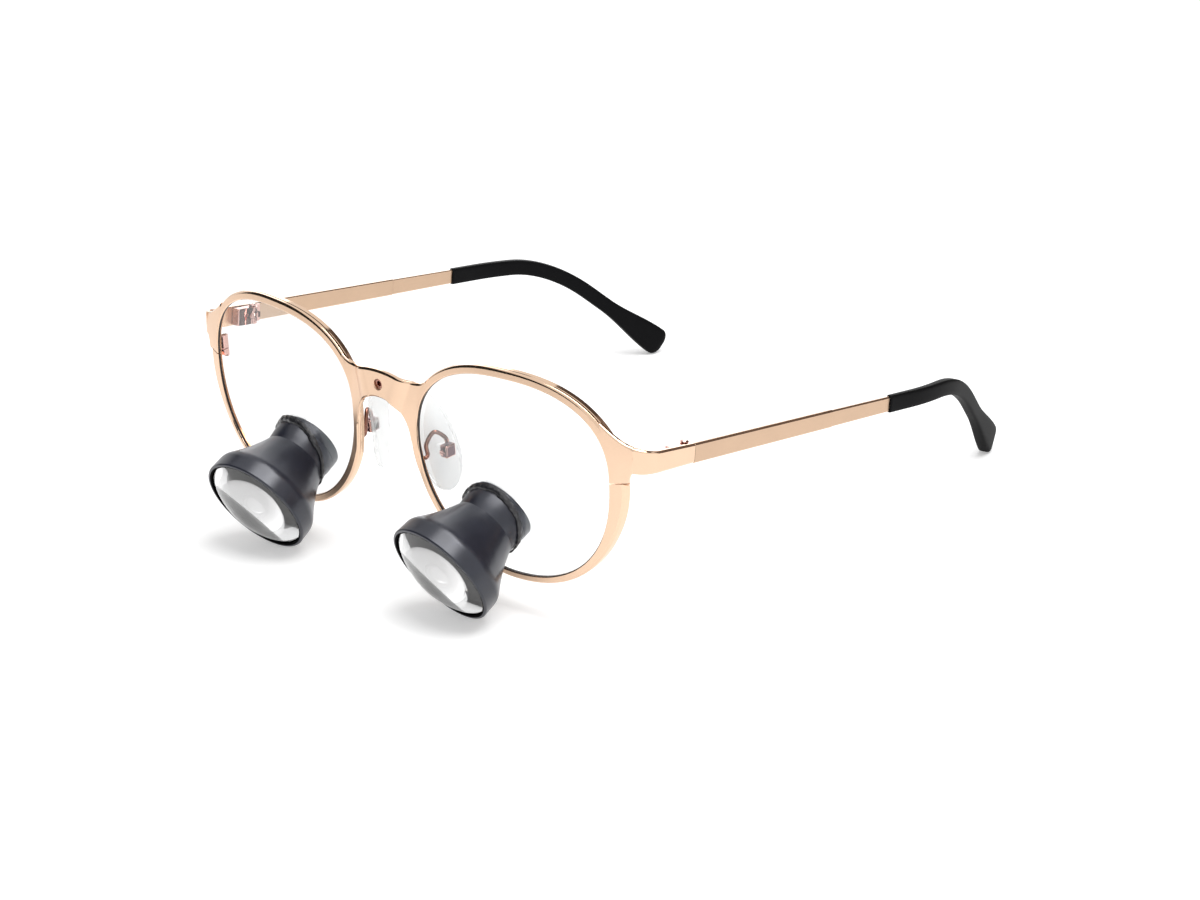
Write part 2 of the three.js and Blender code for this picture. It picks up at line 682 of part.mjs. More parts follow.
// Core inside the tip, or with some growth the socket that takes it.
function coreSections(path, growth) {
  const start = TIP_START - SEAM_BEHIND_PIN;
  const outline = bar(REAR_THICKNESS + 2 * growth, CORE_HEIGHT + 2 * growth);
  const steps = 8;
  const sections = [];
  for (let i = 0; i <= steps; i++) {
    const distance = mix(start, start + CORE_LENGTH + growth, i / steps);
    sections.push(acrossTemple(path, distance, outline));
  }
  if (growth > 0) sections.unshift(acrossTemple(path, start - growth, outline));
  return sections;
}

function temple() {
  const path = new TempleLine();
  const outside = (TEMPLE_THICKNESS - REAR_THICKNESS) / 2;
  const step = TEMPLE_STEP - SEAM_BEHIND_PIN;
  const tip = TIP_START - SEAM_BEHIND_PIN - BRAZE_GAP;
  const strips = [
    [0, TEMPLE_THICKNESS, TEMPLE_HEIGHT],
    [step, TEMPLE_THICKNESS, TEMPLE_HEIGHT_AT_STEP],
    [step + outside, REAR_THICKNESS, REAR_HEIGHT],
    [tip, REAR_THICKNESS, REAR_HEIGHT_AT_TIP],
  ];
  const sections = strips.map(([at, thickness, height]) => acrossTemple(path, at, bar(thickness, height)));
  return loft([...sections, ...coreSections(path, 0)]);
}

// Rounded section of the tip.
function tipOutline(thickness, height) {
  const sides = 12;
  const power = 3.2;
  return Array.from({ length: sides }, (_, i) => {
    const t = ((i + 0.5) * 2 * Math.PI) / sides;
    const across = signedPower(Math.cos(t), 2 / power) * thickness / 2;
    const up = signedPower(Math.sin(t), 2 / power) * height / 2;
    return [across, up];
  });
}

function templeTip() {
  const path = new TempleLine();
  const start = TIP_START - SEAM_BEHIND_PIN;
  const end = path.getLength();
  const steps = 17;
  const sections = [];
  for (let i = 0; i <= steps; i++) {
    const distance = mix(start, end, Math.sin((i / steps) * Math.PI / 2));
    const toEnd = end - distance;
    const toDrop = THREE.MathUtils.smoothstep(distance, start, EAR_BEND);
    const flare = 1 - THREE.MathUtils.smoothstep(toEnd, PADDLE_ROUNDING, PADDLE_LENGTH);
    const rounding = Math.max(0, 1 - toEnd / PADDLE_ROUNDING);
    const close = Math.sqrt(1 - (0.97 * rounding) ** 2);
    const height = mix(mix(TIP_HEIGHT, DROP_HEIGHT, toDrop), PADDLE_HEIGHT, flare) * close;
    const thickness = mix(TIP_THICKNESS, DROP_THICKNESS, toDrop) * mix(1, close, 0.7);
    sections.push(acrossTemple(path, distance, tipOutline(thickness, height)));
  }
  return cut(loft(sections), loft(coreSections(path, BRAZE_GAP)));
}

// Place on the back of the eyewire's nasal side, for the wire brazed there.
function behindEyewire(v) {
  const share = Math.sqrt(1 - ((v - OPENING_RISE) / OPENING_LOWER) ** 2);
  const x = OPENING_CENTRE - OPENING_NASAL * share - EYEWIRE_INSET - EYEWIRE_WIDTH / 2;
  return vec(x, face(x, v) + EYEWIRE_BACK + BRAZE_GAP + PAD_WIRE_RADIUS, v);
}

// Pad arm: wire brazed up the back of the eyewire, over a loop and down to its box.
function padArm() {
  const foot = behindEyewire(PAD_ARM_FOOT);
  const leaves = behindEyewire(PAD_ARM_LEAVES);
  const end = vec(PAD_BOX_SIDE, PAD_BOX_BACK, PAD_BOX_RISE + PAD_BOX_HEIGHT / 2 + 2 * BRAZE_GAP);
  const crest = leaves.clone().lerp(end, 0.45).setZ(PAD_ARM_TOP);
  const above = end.clone().lerp(crest, 0.2).setZ(mix(end.z, PAD_ARM_TOP, 0.5));
  const extrudePath = new THREE.CatmullRomCurve3([foot, leaves, crest, above, end]);
  const wire = new THREE.Shape();
  wire.absarc(0, 0, PAD_WIRE_RADIUS, 0, 2 * Math.PI);
  const run = { steps: 14, extrudePath, curveSegments: WIRE_SIDES / 2, bevelEnabled: false };
  return new THREE.ExtrudeGeometry(wire, run);
}

// Cross hole for the screw through a pad box and the saddle's tab.
function padBore() {
  const bore = rod(PAD_SCREW_RADIUS + BRAZE_GAP, -PAD_BOX_DEPTH, PAD_BOX_DEPTH, WIRE_SIDES);
  return bore.translate(PAD_BOX_SIDE, PAD_BOX_BACK, PAD_BOX_RISE);
}

// Pad box: open toward the nose, for the saddle's tab, and cross-drilled for its screw.
function padBox() {
  const half = vec(PAD_BOX_WIDTH, PAD_BOX_DEPTH, PAD_BOX_HEIGHT).multiplyScalar(0.5);
  const middle = vec(PAD_BOX_SIDE, PAD_BOX_BACK, PAD_BOX_RISE);
  const shell = box(middle.clone().sub(half), middle.clone().add(half));
  const low = middle.clone().sub(half).add(vec(-PAD_BOX_WALL, PAD_BOX_WALL, PAD_BOX_WALL));
  const high = middle.clone().add(half).sub(vec(PAD_BOX_WALL, PAD_BOX_WALL, PAD_BOX_WALL));
  return cut(shell, box(low, high), padBore());
}

function padScrew() {
  const half = PAD_BOX_DEPTH / 2;
  const seat = half + BRAZE_GAP;
  const profile = [
    [0, -seat - PAD_SCREW_HEAD_HEIGHT],
    [PAD_SCREW_HEAD_RADIUS, -seat - PAD_SCREW_HEAD_HEIGHT],
    [PAD_SCREW_HEAD_RADIUS, -seat],
    [PAD_SCREW_RADIUS, -seat],
    [PAD_SCREW_RADIUS, seat],
    [0, seat],
  ];
  return turned(profile, WIRE_SIDES).translate(PAD_BOX_SIDE, PAD_BOX_BACK, PAD_BOX_RISE);
}

// The saddle's mid-line over the nose, from one foot to the other.
function saddleRoute() {
  const place = ([x, v]) => {
    const share = (v - SADDLE_FOOT_RISE) / (SADDLE_TOP_RISE - SADDLE_FOOT_RISE);
    return vec(x, mix(SADDLE_FOOT_BACK, SADDLE_TOP_BACK, share), v);
  };
  const side = [
    [SADDLE_FOOT_SIDE, SADDLE_FOOT_RISE],
    [SADDLE_PAD_SIDE, PAD_BOX_RISE],
    [SADDLE_SHOULDER_SIDE, SADDLE_SHOULDER_RISE],
  ];
  const other = side.map(([x, v]) => [-x, v]).reverse();
  return new THREE.CatmullRomCurve3([...side, [0, SADDLE_TOP_RISE], ...other].map(place));
}

// Tab on the wearer's left pad, drilled for the screw through its box.
function saddleTab() {
  const halfDepth = PAD_BOX_DEPTH / 2 - PAD_BOX_WALL - BRAZE_GAP;
  const halfHeight = PAD_BOX_HEIGHT / 2 - PAD_BOX_WALL - BRAZE_GAP;
  const end = PAD_BOX_SIDE + PAD_BOX_WIDTH / 2 - PAD_BOX_WALL - BRAZE_GAP;
  const tab = box(
    vec(SADDLE_PAD_SIDE, PAD_BOX_BACK - halfDepth, PAD_BOX_RISE - halfHeight),
    vec(end, PAD_BOX_BACK + halfDepth, PAD_BOX_RISE + halfHeight),
  );
  return cut(tab, padBore());
}

// Saddle: two splayed pads and the strap that joins them over the nose, with a tab into each box.
function noseSaddle() {
  const route = saddleRoute();
  const stations = 28;
  const footStations = 4;
  const outlineSides = 10;
  const splay = rad(SADDLE_SPLAY);
  const lean = rad(SADDLE_STRAP_LEAN);
  const sections = [];
  for (let i = 0; i <= stations; i++) {
    const along = route.getTangentAt(i / stations);
    const middle = route.getPointAt(i / stations);
    const strap = THREE.MathUtils.smoothstep(middle.z, PAD_BOX_RISE, SADDLE_TOP_RISE);
    const across = vec(Math.sign(middle.x) * Math.sin(splay), Math.cos(splay), 0);
    across.lerp(vec(0, Math.cos(lean), -Math.sin(lean)), strap);
    across.addScaledVector(along, -across.dot(along)).normalize();
    const out = new THREE.Vector3().crossVectors(along, across);
    const toFoot = Math.min(i, stations - i) / footStations;
    const close = Math.sqrt(1 - (0.93 * Math.max(0, 1 - toFoot)) ** 2);
    const width = mix(SADDLE_PAD_WIDTH, SADDLE_STRAP_WIDTH, strap) * close;
    const thickness = mix(SADDLE_PAD_THICKNESS, SADDLE_STRAP_THICKNESS, strap) * mix(1, close, 0.5);
    sections.push(Array.from({ length: outlineSides }, (_, j) => {
      const turn = (j * 2 * Math.PI) / outlineSides;
      const point = middle.clone().addScaledVector(across, width / 2 * Math.cos(turn));
      return point.addScaledVector(out, thickness / 2 * Math.sin(turn));
    }));
  }
  return joined(loft(sections), saddleTab(), sided(saddleTab(), -1));
}

// Outer radius of a telescope at a distance behind its front rim.
function bellRadius(s) {
  if (s <= RIDGE_AT) return mix(BELL_RADIUS, RIDGE_RADIUS, s / RIDGE_AT);
  if (s <= NECK_AT) {
    const share = (s - RIDGE_AT) / (NECK_AT - RIDGE_AT);
    return mix(RIDGE_RADIUS, NECK_RADIUS, share) - CONE_HOLLOW * 4 * share * (1 - share);
  }
  return mix(NECK_RADIUS, COLLAR_RADIUS, Math.min(1, (s - NECK_AT) / (COLLAR_AT - NECK_AT)));
}

const coneStops = [0.33, 0.67].map((share) => mix(RIDGE_AT, NECK_AT, share));

// Outside of the whole telescope, grown by a clearance, as a tool for the lens bore.
function telescopeEnvelope(growth) {
  const length = HOUSING_LENGTH + EYEPIECE_LENGTH + RUNNING_GAP;
  const stops = [0, RIDGE_AT, ...coneStops, NECK_AT, COLLAR_AT, length + growth];
  return turned([[0, 0], ...stops.map((s) => [bellRadius(s) + growth, s]), [0, length + growth]]);
}

const OBJECTIVE_BORE = OBJECTIVE_RADIUS + RUNNING_GAP;
const OBJECTIVE_SEAT = OBJECTIVE_RECESS + OBJECTIVE_EDGE + BRAZE_GAP + FLINT_EDGE + BRAZE_GAP;
const EYEPIECE_BORE = COLLAR_RADIUS - HOUSING_WALL;

function housing() {
  const inner = coneStops.filter((s) => s > OBJECTIVE_SEAT).reverse();
  const wall = (s) => [bellRadius(s) - HOUSING_WALL, s];
  const spigotSeat = HOUSING_LENGTH - EYEPIECE_SPIGOT - RUNNING_GAP;
  return turned([
    [OBJECTIVE_BORE, 0],
    [BELL_RADIUS - BELL_CHAMFER, 0],
    [BELL_RADIUS, BELL_CHAMFER],
    [RIDGE_RADIUS, RIDGE_AT],
    ...coneStops.map((s) => [bellRadius(s), s]),
    [NECK_RADIUS, NECK_AT],
    [COLLAR_RADIUS, COLLAR_AT],
    [COLLAR_RADIUS, HOUSING_LENGTH],
    [EYEPIECE_BORE, HOUSING_LENGTH],
    [EYEPIECE_BORE, spigotSeat],
    wall(NECK_AT),
    ...inner.map(wall),
    [bellRadius(OBJECTIVE_SEAT) - HOUSING_WALL, OBJECTIVE_SEAT],
    [OBJECTIVE_BORE, OBJECTIVE_SEAT],
    [OBJECTIVE_BORE, 0],
  ]);
}

// Spherical cap as profile points from the axis to its edge; sag is measured toward the front rim.
function cap(radius, edge, sag, steps) {
  return Array.from({ length: steps + 1 }, (_, i) => {
    const r = (radius * i) / steps;
    return [r, edge - sag * (1 - (r / radius) ** 2)];
  });
}

function crown() {
  const back = OBJECTIVE_RECESS + OBJECTIVE_EDGE;
  const front = cap(OBJECTIVE_RADIUS, OBJECTIVE_RECESS, OBJECTIVE_SAG, 5);
  return turned([...front, ...cap(OBJECTIVE_RADIUS, back, -CEMENT_SAG, 3).reverse()]);
}

function flint() {
  const front = OBJECTIVE_RECESS + OBJECTIVE_EDGE + BRAZE_GAP;
  const back = front + FLINT_EDGE;
  return turned([
    ...cap(OBJECTIVE_RADIUS, front, -CEMENT_SAG, 3),
    ...cap(OBJECTIVE_RADIUS, back, FLINT_BACK_SAG, 4).reverse(),
  ]);
}

// Threaded ring that holds the objective: it fills the bore ahead of the lens edge.
function objectiveRing() {
  const back = OBJECTIVE_RECESS - BRAZE_GAP;
  const fromDome = OBJECTIVE_SAG * (1 - (OBJECTIVE_RING_RADIUS / OBJECTIVE_RADIUS) ** 2);
  return turned([
    [OBJECTIVE_RING_RADIUS, BELL_CHAMFER / 4],
    [OBJECTIVE_RADIUS, BELL_CHAMFER / 4],
    [OBJECTIVE_RADIUS, back],
    [OBJECTIVE_RING_RADIUS, back - fromDome],
    [OBJECTIVE_RING_RADIUS, BELL_CHAMFER / 4],
  ]);
}

const CELL_FRONT = HOUSING_LENGTH + RUNNING_GAP;
const CELL_BACK = CELL_FRONT + EYEPIECE_LENGTH;
const CELL_SPIGOT = EYEPIECE_BORE - RUNNING_GAP;
const EYE_LENS_RADIUS = CELL_SPIGOT - EYEPIECE_WALL - RUNNING_GAP;
const EYE_LENS_BACK = CELL_BACK - EYE_RING_DEPTH - BRAZE_GAP;
const EYE_LENS_FRONT = EYE_LENS_BACK - EYE_LENS_THICKNESS;

function eyepieceCell() {
  const bore = EYE_LENS_RADIUS + RUNNING_GAP;
  const shoulder = EYE_LENS_FRONT - BRAZE_GAP;
  return turned([
    [bore - EYEPIECE_WALL, HOUSING_LENGTH - EYEPIECE_SPIGOT],
    [CELL_SPIGOT, HOUSING_LENGTH - EYEPIECE_SPIGOT],
    [CELL_SPIGOT, CELL_FRONT],
    [COLLAR_RADIUS, CELL_FRONT],
    [COLLAR_RADIUS, CELL_BACK - BELL_CHAMFER],
    [COLLAR_RADIUS - BELL_CHAMFER, CELL_BACK],
    [bore, CELL_BACK],
    [bore, shoulder],
    [bore - EYEPIECE_WALL, shoulder],
    [bore - EYEPIECE_WALL, HOUSING_LENGTH - EYEPIECE_SPIGOT],
  ], EYEPIECE_SIDES);
}

// Diverging eye lens: thinner in the middle than at its edge.
function eyeLens() {
  return turned([
    ...cap(EYE_LENS_RADIUS, EYE_LENS_FRONT, -EYE_LENS_SAG, 3),
    ...cap(EYE_LENS_RADIUS, EYE_LENS_BACK, EYE_LENS_SAG, 3).reverse(),
  ], EYEPIECE_SIDES);
}

function eyeRing() {
  const front = EYE_LENS_BACK + BRAZE_GAP;
  const inner = EYE_LENS_RADIUS - EYEPIECE_WALL;
  return turned([
    [inner, front],
    [EYE_LENS_RADIUS, front],
    [EYE_LENS_RADIUS, CELL_BACK],
    [inner + EYEPIECE_WALL / 2, CELL_BACK],
    [inner, front],
  ], EYEPIECE_SIDES);
}

// Puts a telescope's own axis, which points back to the eye, where it crosses the lens.
function setTelescope(piece, sign) {
  const drop = rad(DECLINATION - PANTOSCOPIC_TILT);
  const turnIn = rad(CONVERGENCE);
  piece.rotation.set(drop, 0, -sign * turnIn, 'ZXY');
  const axis = vec(0, 1, 0).applyEuler(piece.rotation);
  const depth = face(TELESCOPE_SIDE, TELESCOPE_RISE) + LENS_FRONT;
  piece.position.set(sign * TELESCOPE_SIDE, depth, TELESCOPE_RISE);
  piece.position.addScaledVector(axis, -RIM_TO_LENS);
  piece.updateMatrix();
  return piece;
}

// Distance behind the front rim at which a line beside the axis meets the lens.
function lensMeet(matrix, radius, turn) {
  let s = RIM_TO_LENS;
  for (let i = 0; i < 6; i++) {
    const p = vec(radius * Math.cos(turn), s, radius * Math.sin(turn)).applyMatrix4(matrix);
    s += face(p.x, p.z) + LENS_FRONT - p.y;
  }
  return s;
}

// Adhesive bead: a fillet between the bell and the lens, wider where the neck leans away.
function adhesiveBead(matrix) {
  const rings = [];
  for (let i = 0; i < ROUND_SIDES; i++) {
    const turn = Math.PI / 2 - (i * 2 * Math.PI) / ROUND_SIDES;
    let radius = COLLAR_RADIUS;
    let seat = 0;
    for (let k = 0; k < 6; k++) {
      seat = lensMeet(matrix, radius, turn) - BRAZE_GAP;
      radius = bellRadius(seat) + RUNNING_GAP;
    }
    const width = BEAD_WIDTH + BEAD_UNEVEN * Math.sin(turn);
    const outer = radius + width;
    const outerSeat = lensMeet(matrix, outer, turn) - BRAZE_GAP;
    const high = seat - BEAD_HEIGHT * (width / BEAD_WIDTH);
    const profile = [
      [radius, seat],
      [bellRadius(high) + RUNNING_GAP, high],
      [mix(radius, outer, 0.62), mix(high, outerSeat, 0.38)],
      [outer, outerSeat],
    ];
    rings.push(profile.map(([r, s]) => vec(r * Math.cos(turn), s, r * Math.sin(turn))));
  }
  return loft(rings, true);
}

const rose = { color: 0xe6bd9c, roughness: 0.32, metalness: 1 };
const roseDark = { color: 0xb9866a, roughness: 0.3, metalness: 1 };
const charcoal = { color: 0x2c2e36, roughness: 0.45, metalness: 0.4 };
const black = { color: 0x141416, roughness: 0.6, metalness: 0 };
const glass = { color: 0xe8f0f2, roughness: 0.03, metalness: 0, transparent: true, opacity: 0.3 };
const silicone = { color: 0xeef2f2, roughness: 0.25, metalness: 0, transparent: true, opacity: 0.5 };
const cement = { color: 0x23242a, roughness: 0.25, metalness: 0 };

function piece(parent, name, geometry, finish) {
  const mesh = new THREE.Mesh(geometry, new THREE.MeshStandardMaterial(finish));
  mesh.name = name;
  parent.add(mesh);
  return mesh;
}

const group = new THREE.Group();
const worn = new THREE.Group();
group.add(worn);
const front = new THREE.Group();
front.position.set(0, -FRONT_AHEAD, -FRONT_BELOW);
front.rotation.x = TILT;
worn.add(front);

const ways = [['left', 1], ['right', -1]];

piece(front, 'front_plate', frontPlate(), rose);
const bridgeScrew = bridgeRod(BRIDGE_HOLE_RADIUS - BRAZE_GAP, BRIDGE_SCREW_SINK, 2 * PLATE_THICKNESS);
piece(front, 'bridge_screw', bridgeScrew, roseDark);
piece(front, 'nose_saddle', noseSaddle(), silicone);

const upperBlock = closingBlock(UPPER_BLOCK_HEIGHT, SLIT_WIDTH / 2);
const lowerBlock = closingBlock(LOWER_BLOCK_HEIGHT, -SLIT_WIDTH / 2 - LOWER_BLOCK_HEIGHT);

for (const [way, sign] of ways) {
  const telescope = setTelescope(new THREE.Group(), sign);
  const bore = telescopeEnvelope(RUNNING_GAP).applyMatrix4(setTelescope(new THREE.Object3D(), 1).matrix);

  piece(front, `${way}_eyewire`, sided(eyewire(), sign), rose);
  piece(front, `${way}_lens`, sided(carrierLens(bore), sign), glass);
  piece(front, `${way}_closing_block_upper`, sided(upperBlock, sign), rose);
  piece(front, `${way}_closing_block_lower`, sided(lowerBlock, sign), rose);
  piece(front, `${way}_closing_screw`, sided(closingScrew(), sign), roseDark);
  piece(front, `${way}_pad_arm`, sided(padArm(), sign), rose);
  piece(front, `${way}_pad_box`, sided(padBox(), sign), rose);
  piece(front, `${way}_pad_screw`, sided(padScrew(), sign), roseDark);

  front.add(telescope);
  piece(telescope, `${way}_telescope_housing`, housing(), charcoal);
  piece(telescope, `${way}_objective_crown`, crown(), glass);
  piece(telescope, `${way}_objective_flint`, flint(), glass);
  piece(telescope, `${way}_objective_ring`, objectiveRing(), charcoal);
  piece(telescope, `${way}_eyepiece_cell`, eyepieceCell(), charcoal);
  piece(telescope, `${way}_eyepiece_lens`, eyeLens(), glass);
  piece(telescope, `${way}_eyepiece_ring`, eyeRing(), charcoal);
  piece(telescope, `${way}_adhesive_bead`, adhesiveBead(telescope.matrix), cement);

  piece(worn, `${way}_hinge_front_leaf`, sided(hingeFrontLeaf(), sign), rose);
  piece(worn, `${way}_hinge_screw`, sided(hingeScrew(), sign), roseDark);
  piece(worn, `${way}_hinge_temple_leaf`, sided(hingeTempleLeaf(), sign), rose);
  piece(worn, `${way}_temple`, sided(temple(), sign), rose);
  piece(worn, `${way}_tip`, sided(templeTip(), sign), black);
}

// Lowest point of the meshes that pass a test, with the worn loupes pitched by an angle.
function lowest(pitch, test) {
  worn.rotation.x = pitch;
  group.updateMatrixWorld(true);
  const point = new THREE.Vector3();
  let low = Infinity;
  worn.traverse((mesh) => {
    if (!mesh.isMesh || !test(mesh.name)) return;
    const position = mesh.geometry.getAttribute('position');
    for (let i = 0; i < position.count; i++) {
      low = Math.min(low, point.fromBufferAttribute(position, i).applyMatrix4(mesh.matrixWorld).z);
    }
  });
  return low;
}

// Pitches the loupes until telescopes and tips touch the table together.
function restPitch() {
  let down = rad(-30);
  let up = rad(30);
  for (let i = 0; i < 40; i++) {
    const middle = (down + up) / 2;
    const tips = lowest(middle, (name) => name.endsWith('_tip'));
    const rims = lowest(middle, (name) => name.endsWith('_telescope_housing'));
    if (tips > rims) up = middle;
    else down = middle;
  }
  return (down + up) / 2;
}

worn.rotation.x = restPitch();
group.updateMatrixWorld(true);
const bounds = new THREE.Box3().setFromObject(worn, true);
const centre = bounds.getCenter(new THREE.Vector3());
worn.position.set(-centre.x, -centre.y, -bounds.min.z);

export default group;
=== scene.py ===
import bisect
import json
import math

import bpy
from bpy.props import FloatProperty, FloatVectorProperty, PointerProperty
from mathutils import Matrix, Vector


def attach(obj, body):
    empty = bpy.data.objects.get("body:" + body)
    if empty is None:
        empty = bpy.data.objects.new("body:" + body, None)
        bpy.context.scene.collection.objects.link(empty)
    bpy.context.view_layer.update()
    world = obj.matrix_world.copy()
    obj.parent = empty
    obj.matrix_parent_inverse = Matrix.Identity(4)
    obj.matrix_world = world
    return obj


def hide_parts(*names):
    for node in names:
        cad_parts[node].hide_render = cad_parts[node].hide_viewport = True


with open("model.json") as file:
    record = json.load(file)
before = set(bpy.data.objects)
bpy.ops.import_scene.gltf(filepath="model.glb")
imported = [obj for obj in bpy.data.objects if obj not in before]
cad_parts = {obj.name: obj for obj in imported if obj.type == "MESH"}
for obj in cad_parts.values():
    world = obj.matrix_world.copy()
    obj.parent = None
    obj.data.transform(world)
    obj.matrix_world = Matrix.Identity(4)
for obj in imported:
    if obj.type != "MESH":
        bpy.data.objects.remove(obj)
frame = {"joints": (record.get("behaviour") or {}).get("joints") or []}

bl_info = {
    "name": "Surgical Loupes",
    "version": (1, 0, 0),
    "blender": (4, 5, 0),
    "location": "View3D > Sidebar > Loupes",
    "description": "Dresses a packed pair of surgical loupes with finished pieces and a small studio",
    "category": "Object",
}

MM = 0.001
WHOLE_TURN = 2 * math.pi
LEFT_FOLD = frame["joints"][0]
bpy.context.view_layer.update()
SIDES = ("left", "right")

# Fits, walls and glass that several pieces share, in millimetres
SLIDE_FIT = 0.09
BEDDING = 0.1
HOUSING_WALL = 0.9
CELL_WALL = 0.8
CROWN = 1.6
FLINT = 2
EYE_LENS = 1.6
EYE_RING = 0.7
CORE_REACH = 46.1

# Sections round a lens opening
RIM_STATIONS = 256
LENS_STATIONS = 192


# Properties

def length(name, millimetres, description):
    return FloatProperty(name=name, description=description, default=millimetres * MM, unit="LENGTH",
                         precision=5)


def angle(name, degrees, description):
    return FloatProperty(name=name, description=description, default=math.radians(degrees), unit="ROTATION",
                         subtype="ANGLE")


def number(name, value, description):
    return FloatProperty(name=name, description=description, default=value, precision=3)


def colour(name, rgb, description):
    return FloatVectorProperty(name=name, description=description, default=rgb, size=3, subtype="COLOR",
                               min=0, max=1)


class FrontSizes(bpy.types.PropertyGroup):
    """Sizes of the rims, bridge and end-pieces."""

    ahead: length("Ahead", 22.3, "How far the front stands ahead of the hinge pins")
    below: length("Below", 11.1, "How far the front's own axis lies below the temples")
    tilt: angle("Tilt", 10.4, "Lean of the front against the temples")
    face_radius: length("Face radius", 125, "Radius of the dome that each half of the front follows")
    face_vertex: length("Face vertex", 23.8, "Side distance of the dome's foremost point")
    opening_centre: length("Opening centre", 36.8, "Side distance of a lens opening")
    opening_rise: length("Opening rise", 3.5, "Height at which an opening is widest")
    nasal: length("Nasal half", 26.3, "Width of an opening toward the nose")
    temporal: length("Temporal half", 26.5, "Width of an opening toward the temple")
    upper: length("Upper half", 19.6, "Height of an opening above its widest line")
    lower: length("Lower half", 27.2, "Height of an opening below its widest line")
    upper_power: number("Upper power", 2.38, "Squareness of an opening's upper half")
    lower_temporal_power: number("Lower temporal power", 2.23, "Squareness of the lower outer quarter")
    lower_nasal_power: number("Lower nasal power", 2.0, "Squareness of the lower inner quarter")
    sheet: length("Sheet", 1, "Thickness of the sheet that the front is cut from")
    edge: length("Broken edge", 0.38, "Width of the polished break along the front's edges")
    rim_width: length("Rim width", 1.9, "Width of a rim's face")
    slit_rim_width: length("Rim width at the slit", 3.4, "Width of a rim's face beside the end-piece")
    slit_rise: length("Slit rise", 3.9, "Height of the slit that lets a lens in")
    slit_lean: angle("Slit lean", 8, "Rise of the slit toward the temple")
    slit_width: length("Slit width", 0.25, "Opening of the slit")
    bridge_top: length("Bridge top", 17.2, "Height of the bridge's upper edge in its middle")
    bridge_dip: length("Bridge dip", 1.2, "How much lower the upper edge is beside the rims")
    bridge_span: length("Bridge half span", 9, "Side distance of the crease at the upper edge")
    bridge_reach: length("Bridge reach", 13.53, "Side distance at which the bridge ends inside a rim")
    bridge_fillet: length("Bridge fillet", 5, "Radius with which the upper edge runs into a rim")
    fillet_from: length("Fillet start", 8.65, "Side distance at which the fillet starts")
    nose_lift: number("Nose lift", 0.35, "Forward slope of a rim's inner side toward the bridge")
    bridge_bow: length("Bridge bow", 1.475, "How far the bridge's flat middle stands forward")
    bridge_flank: length("Bridge flank", 4.4, "Width of the curved flank beside the flat middle")
    crease_lean: number("Crease lean", 0.35, "Inward shift of the crease for each unit downward")
    arch_crest: length("Arch crest", 10.8, "Height of the arch over the nose")
    arch_width: length("Arch half width", 8.85, "Half width of the arch at its foot")
    arch_power: number("Arch power", 2.2, "Squareness of the arch")
    screw_hole: length("Screw hole", 1.3, "Radius of the hole in the bridge")
    end_outside: length("End-piece outside", 72.2, "Side distance of the end-piece's outer face")
    end_height: length("End-piece height", 6, "Height of the end-piece where its bend starts")
    end_rear_height: length("End-piece rear height", 5, "Height of the end-piece where its bend ends")
    end_bend: length("End-piece bend", 5.5, "Outer radius of the bend toward the temple")
    end_root: length("End-piece root", 2.2, "How far inside the opening's edge the end-piece starts")
    end_flare: length("End-piece flare", 4.6, "Rise of the end-piece's top toward the rim")
    end_corner: length("End-piece corner", 0.9, "Radius of the corner beside the slit")
    wire_inset: length("Eyewire inset", 0.1, "Distance of the eyewire from the opening's edge")
    wire_width: length("Eyewire width", 1.5, "Width of the eyewire")
    wire_front: length("Eyewire front", 1.1, "Depth of the eyewire's front behind the face")
    groove: length("Groove", 0.7, "Distance of the eyewire's groove from the opening's edge")
    wire_shown: length("Eyewire lens side", 0.7, "Depth of the eyewire at the lens")
    wire_wall: length("Eyewire outer wall", 1.2, "Depth of the eyewire at its outer wall")
    wire_depth: length("Eyewire seat", 1.8, "Depth behind the eyewire's front in which a lens is centred")
    lens_thickness: length("Lens thickness", 2, "Thickness of a carrier lens")


class TelescopeSizes(bpy.types.PropertyGroup):
    """Sizes of the telescopes."""

    side: length("Side", 31.3, "Side distance at which an axis crosses its lens")
    rise: length("Rise", -11.9, "Height at which an axis crosses its lens")
    drop: angle("Drop", 24.8, "Downward lean of an axis against the front")
    turn_in: angle("Turn in", 3.8, "Inward turn of an axis")
    rim_to_lens: length("Rim to lens", 17.9, "Distance from the front rim to the lens along the axis")
    bell: length("Bell radius", 13.52, "Radius of the front rim")
    ridge: length("Ridge radius", 13.35, "Radius where the front band ends")
    ridge_at: length("Ridge place", 4.6, "Distance of the ridge behind the front rim")
    neck: length("Neck radius", 7.7, "Smallest radius of the bell")
    neck_at: length("Neck place", 15.6, "Distance of the neck behind the front rim")
    collar: length("Collar radius", 8, "Radius of the collar in the lens")
    collar_at: length("Collar place", 18, "Distance at which the collar is reached")
    housing: length("Housing length", 19.9, "Length of the bell with its collar")
    hollow: length("Cone hollow", 0.5, "How far the cone is hollowed")
    glass: length("Objective radius", 12.8, "Radius of the objective lens")
    recess: length("Objective recess", 0.65, "Depth of the objective's edge behind the front rim")
    sag: length("Objective sag", 4.4, "Rise of the objective's dome")
    eyepiece: length("Eyepiece length", 2.3, "Length of the eyepiece cell behind the housing")


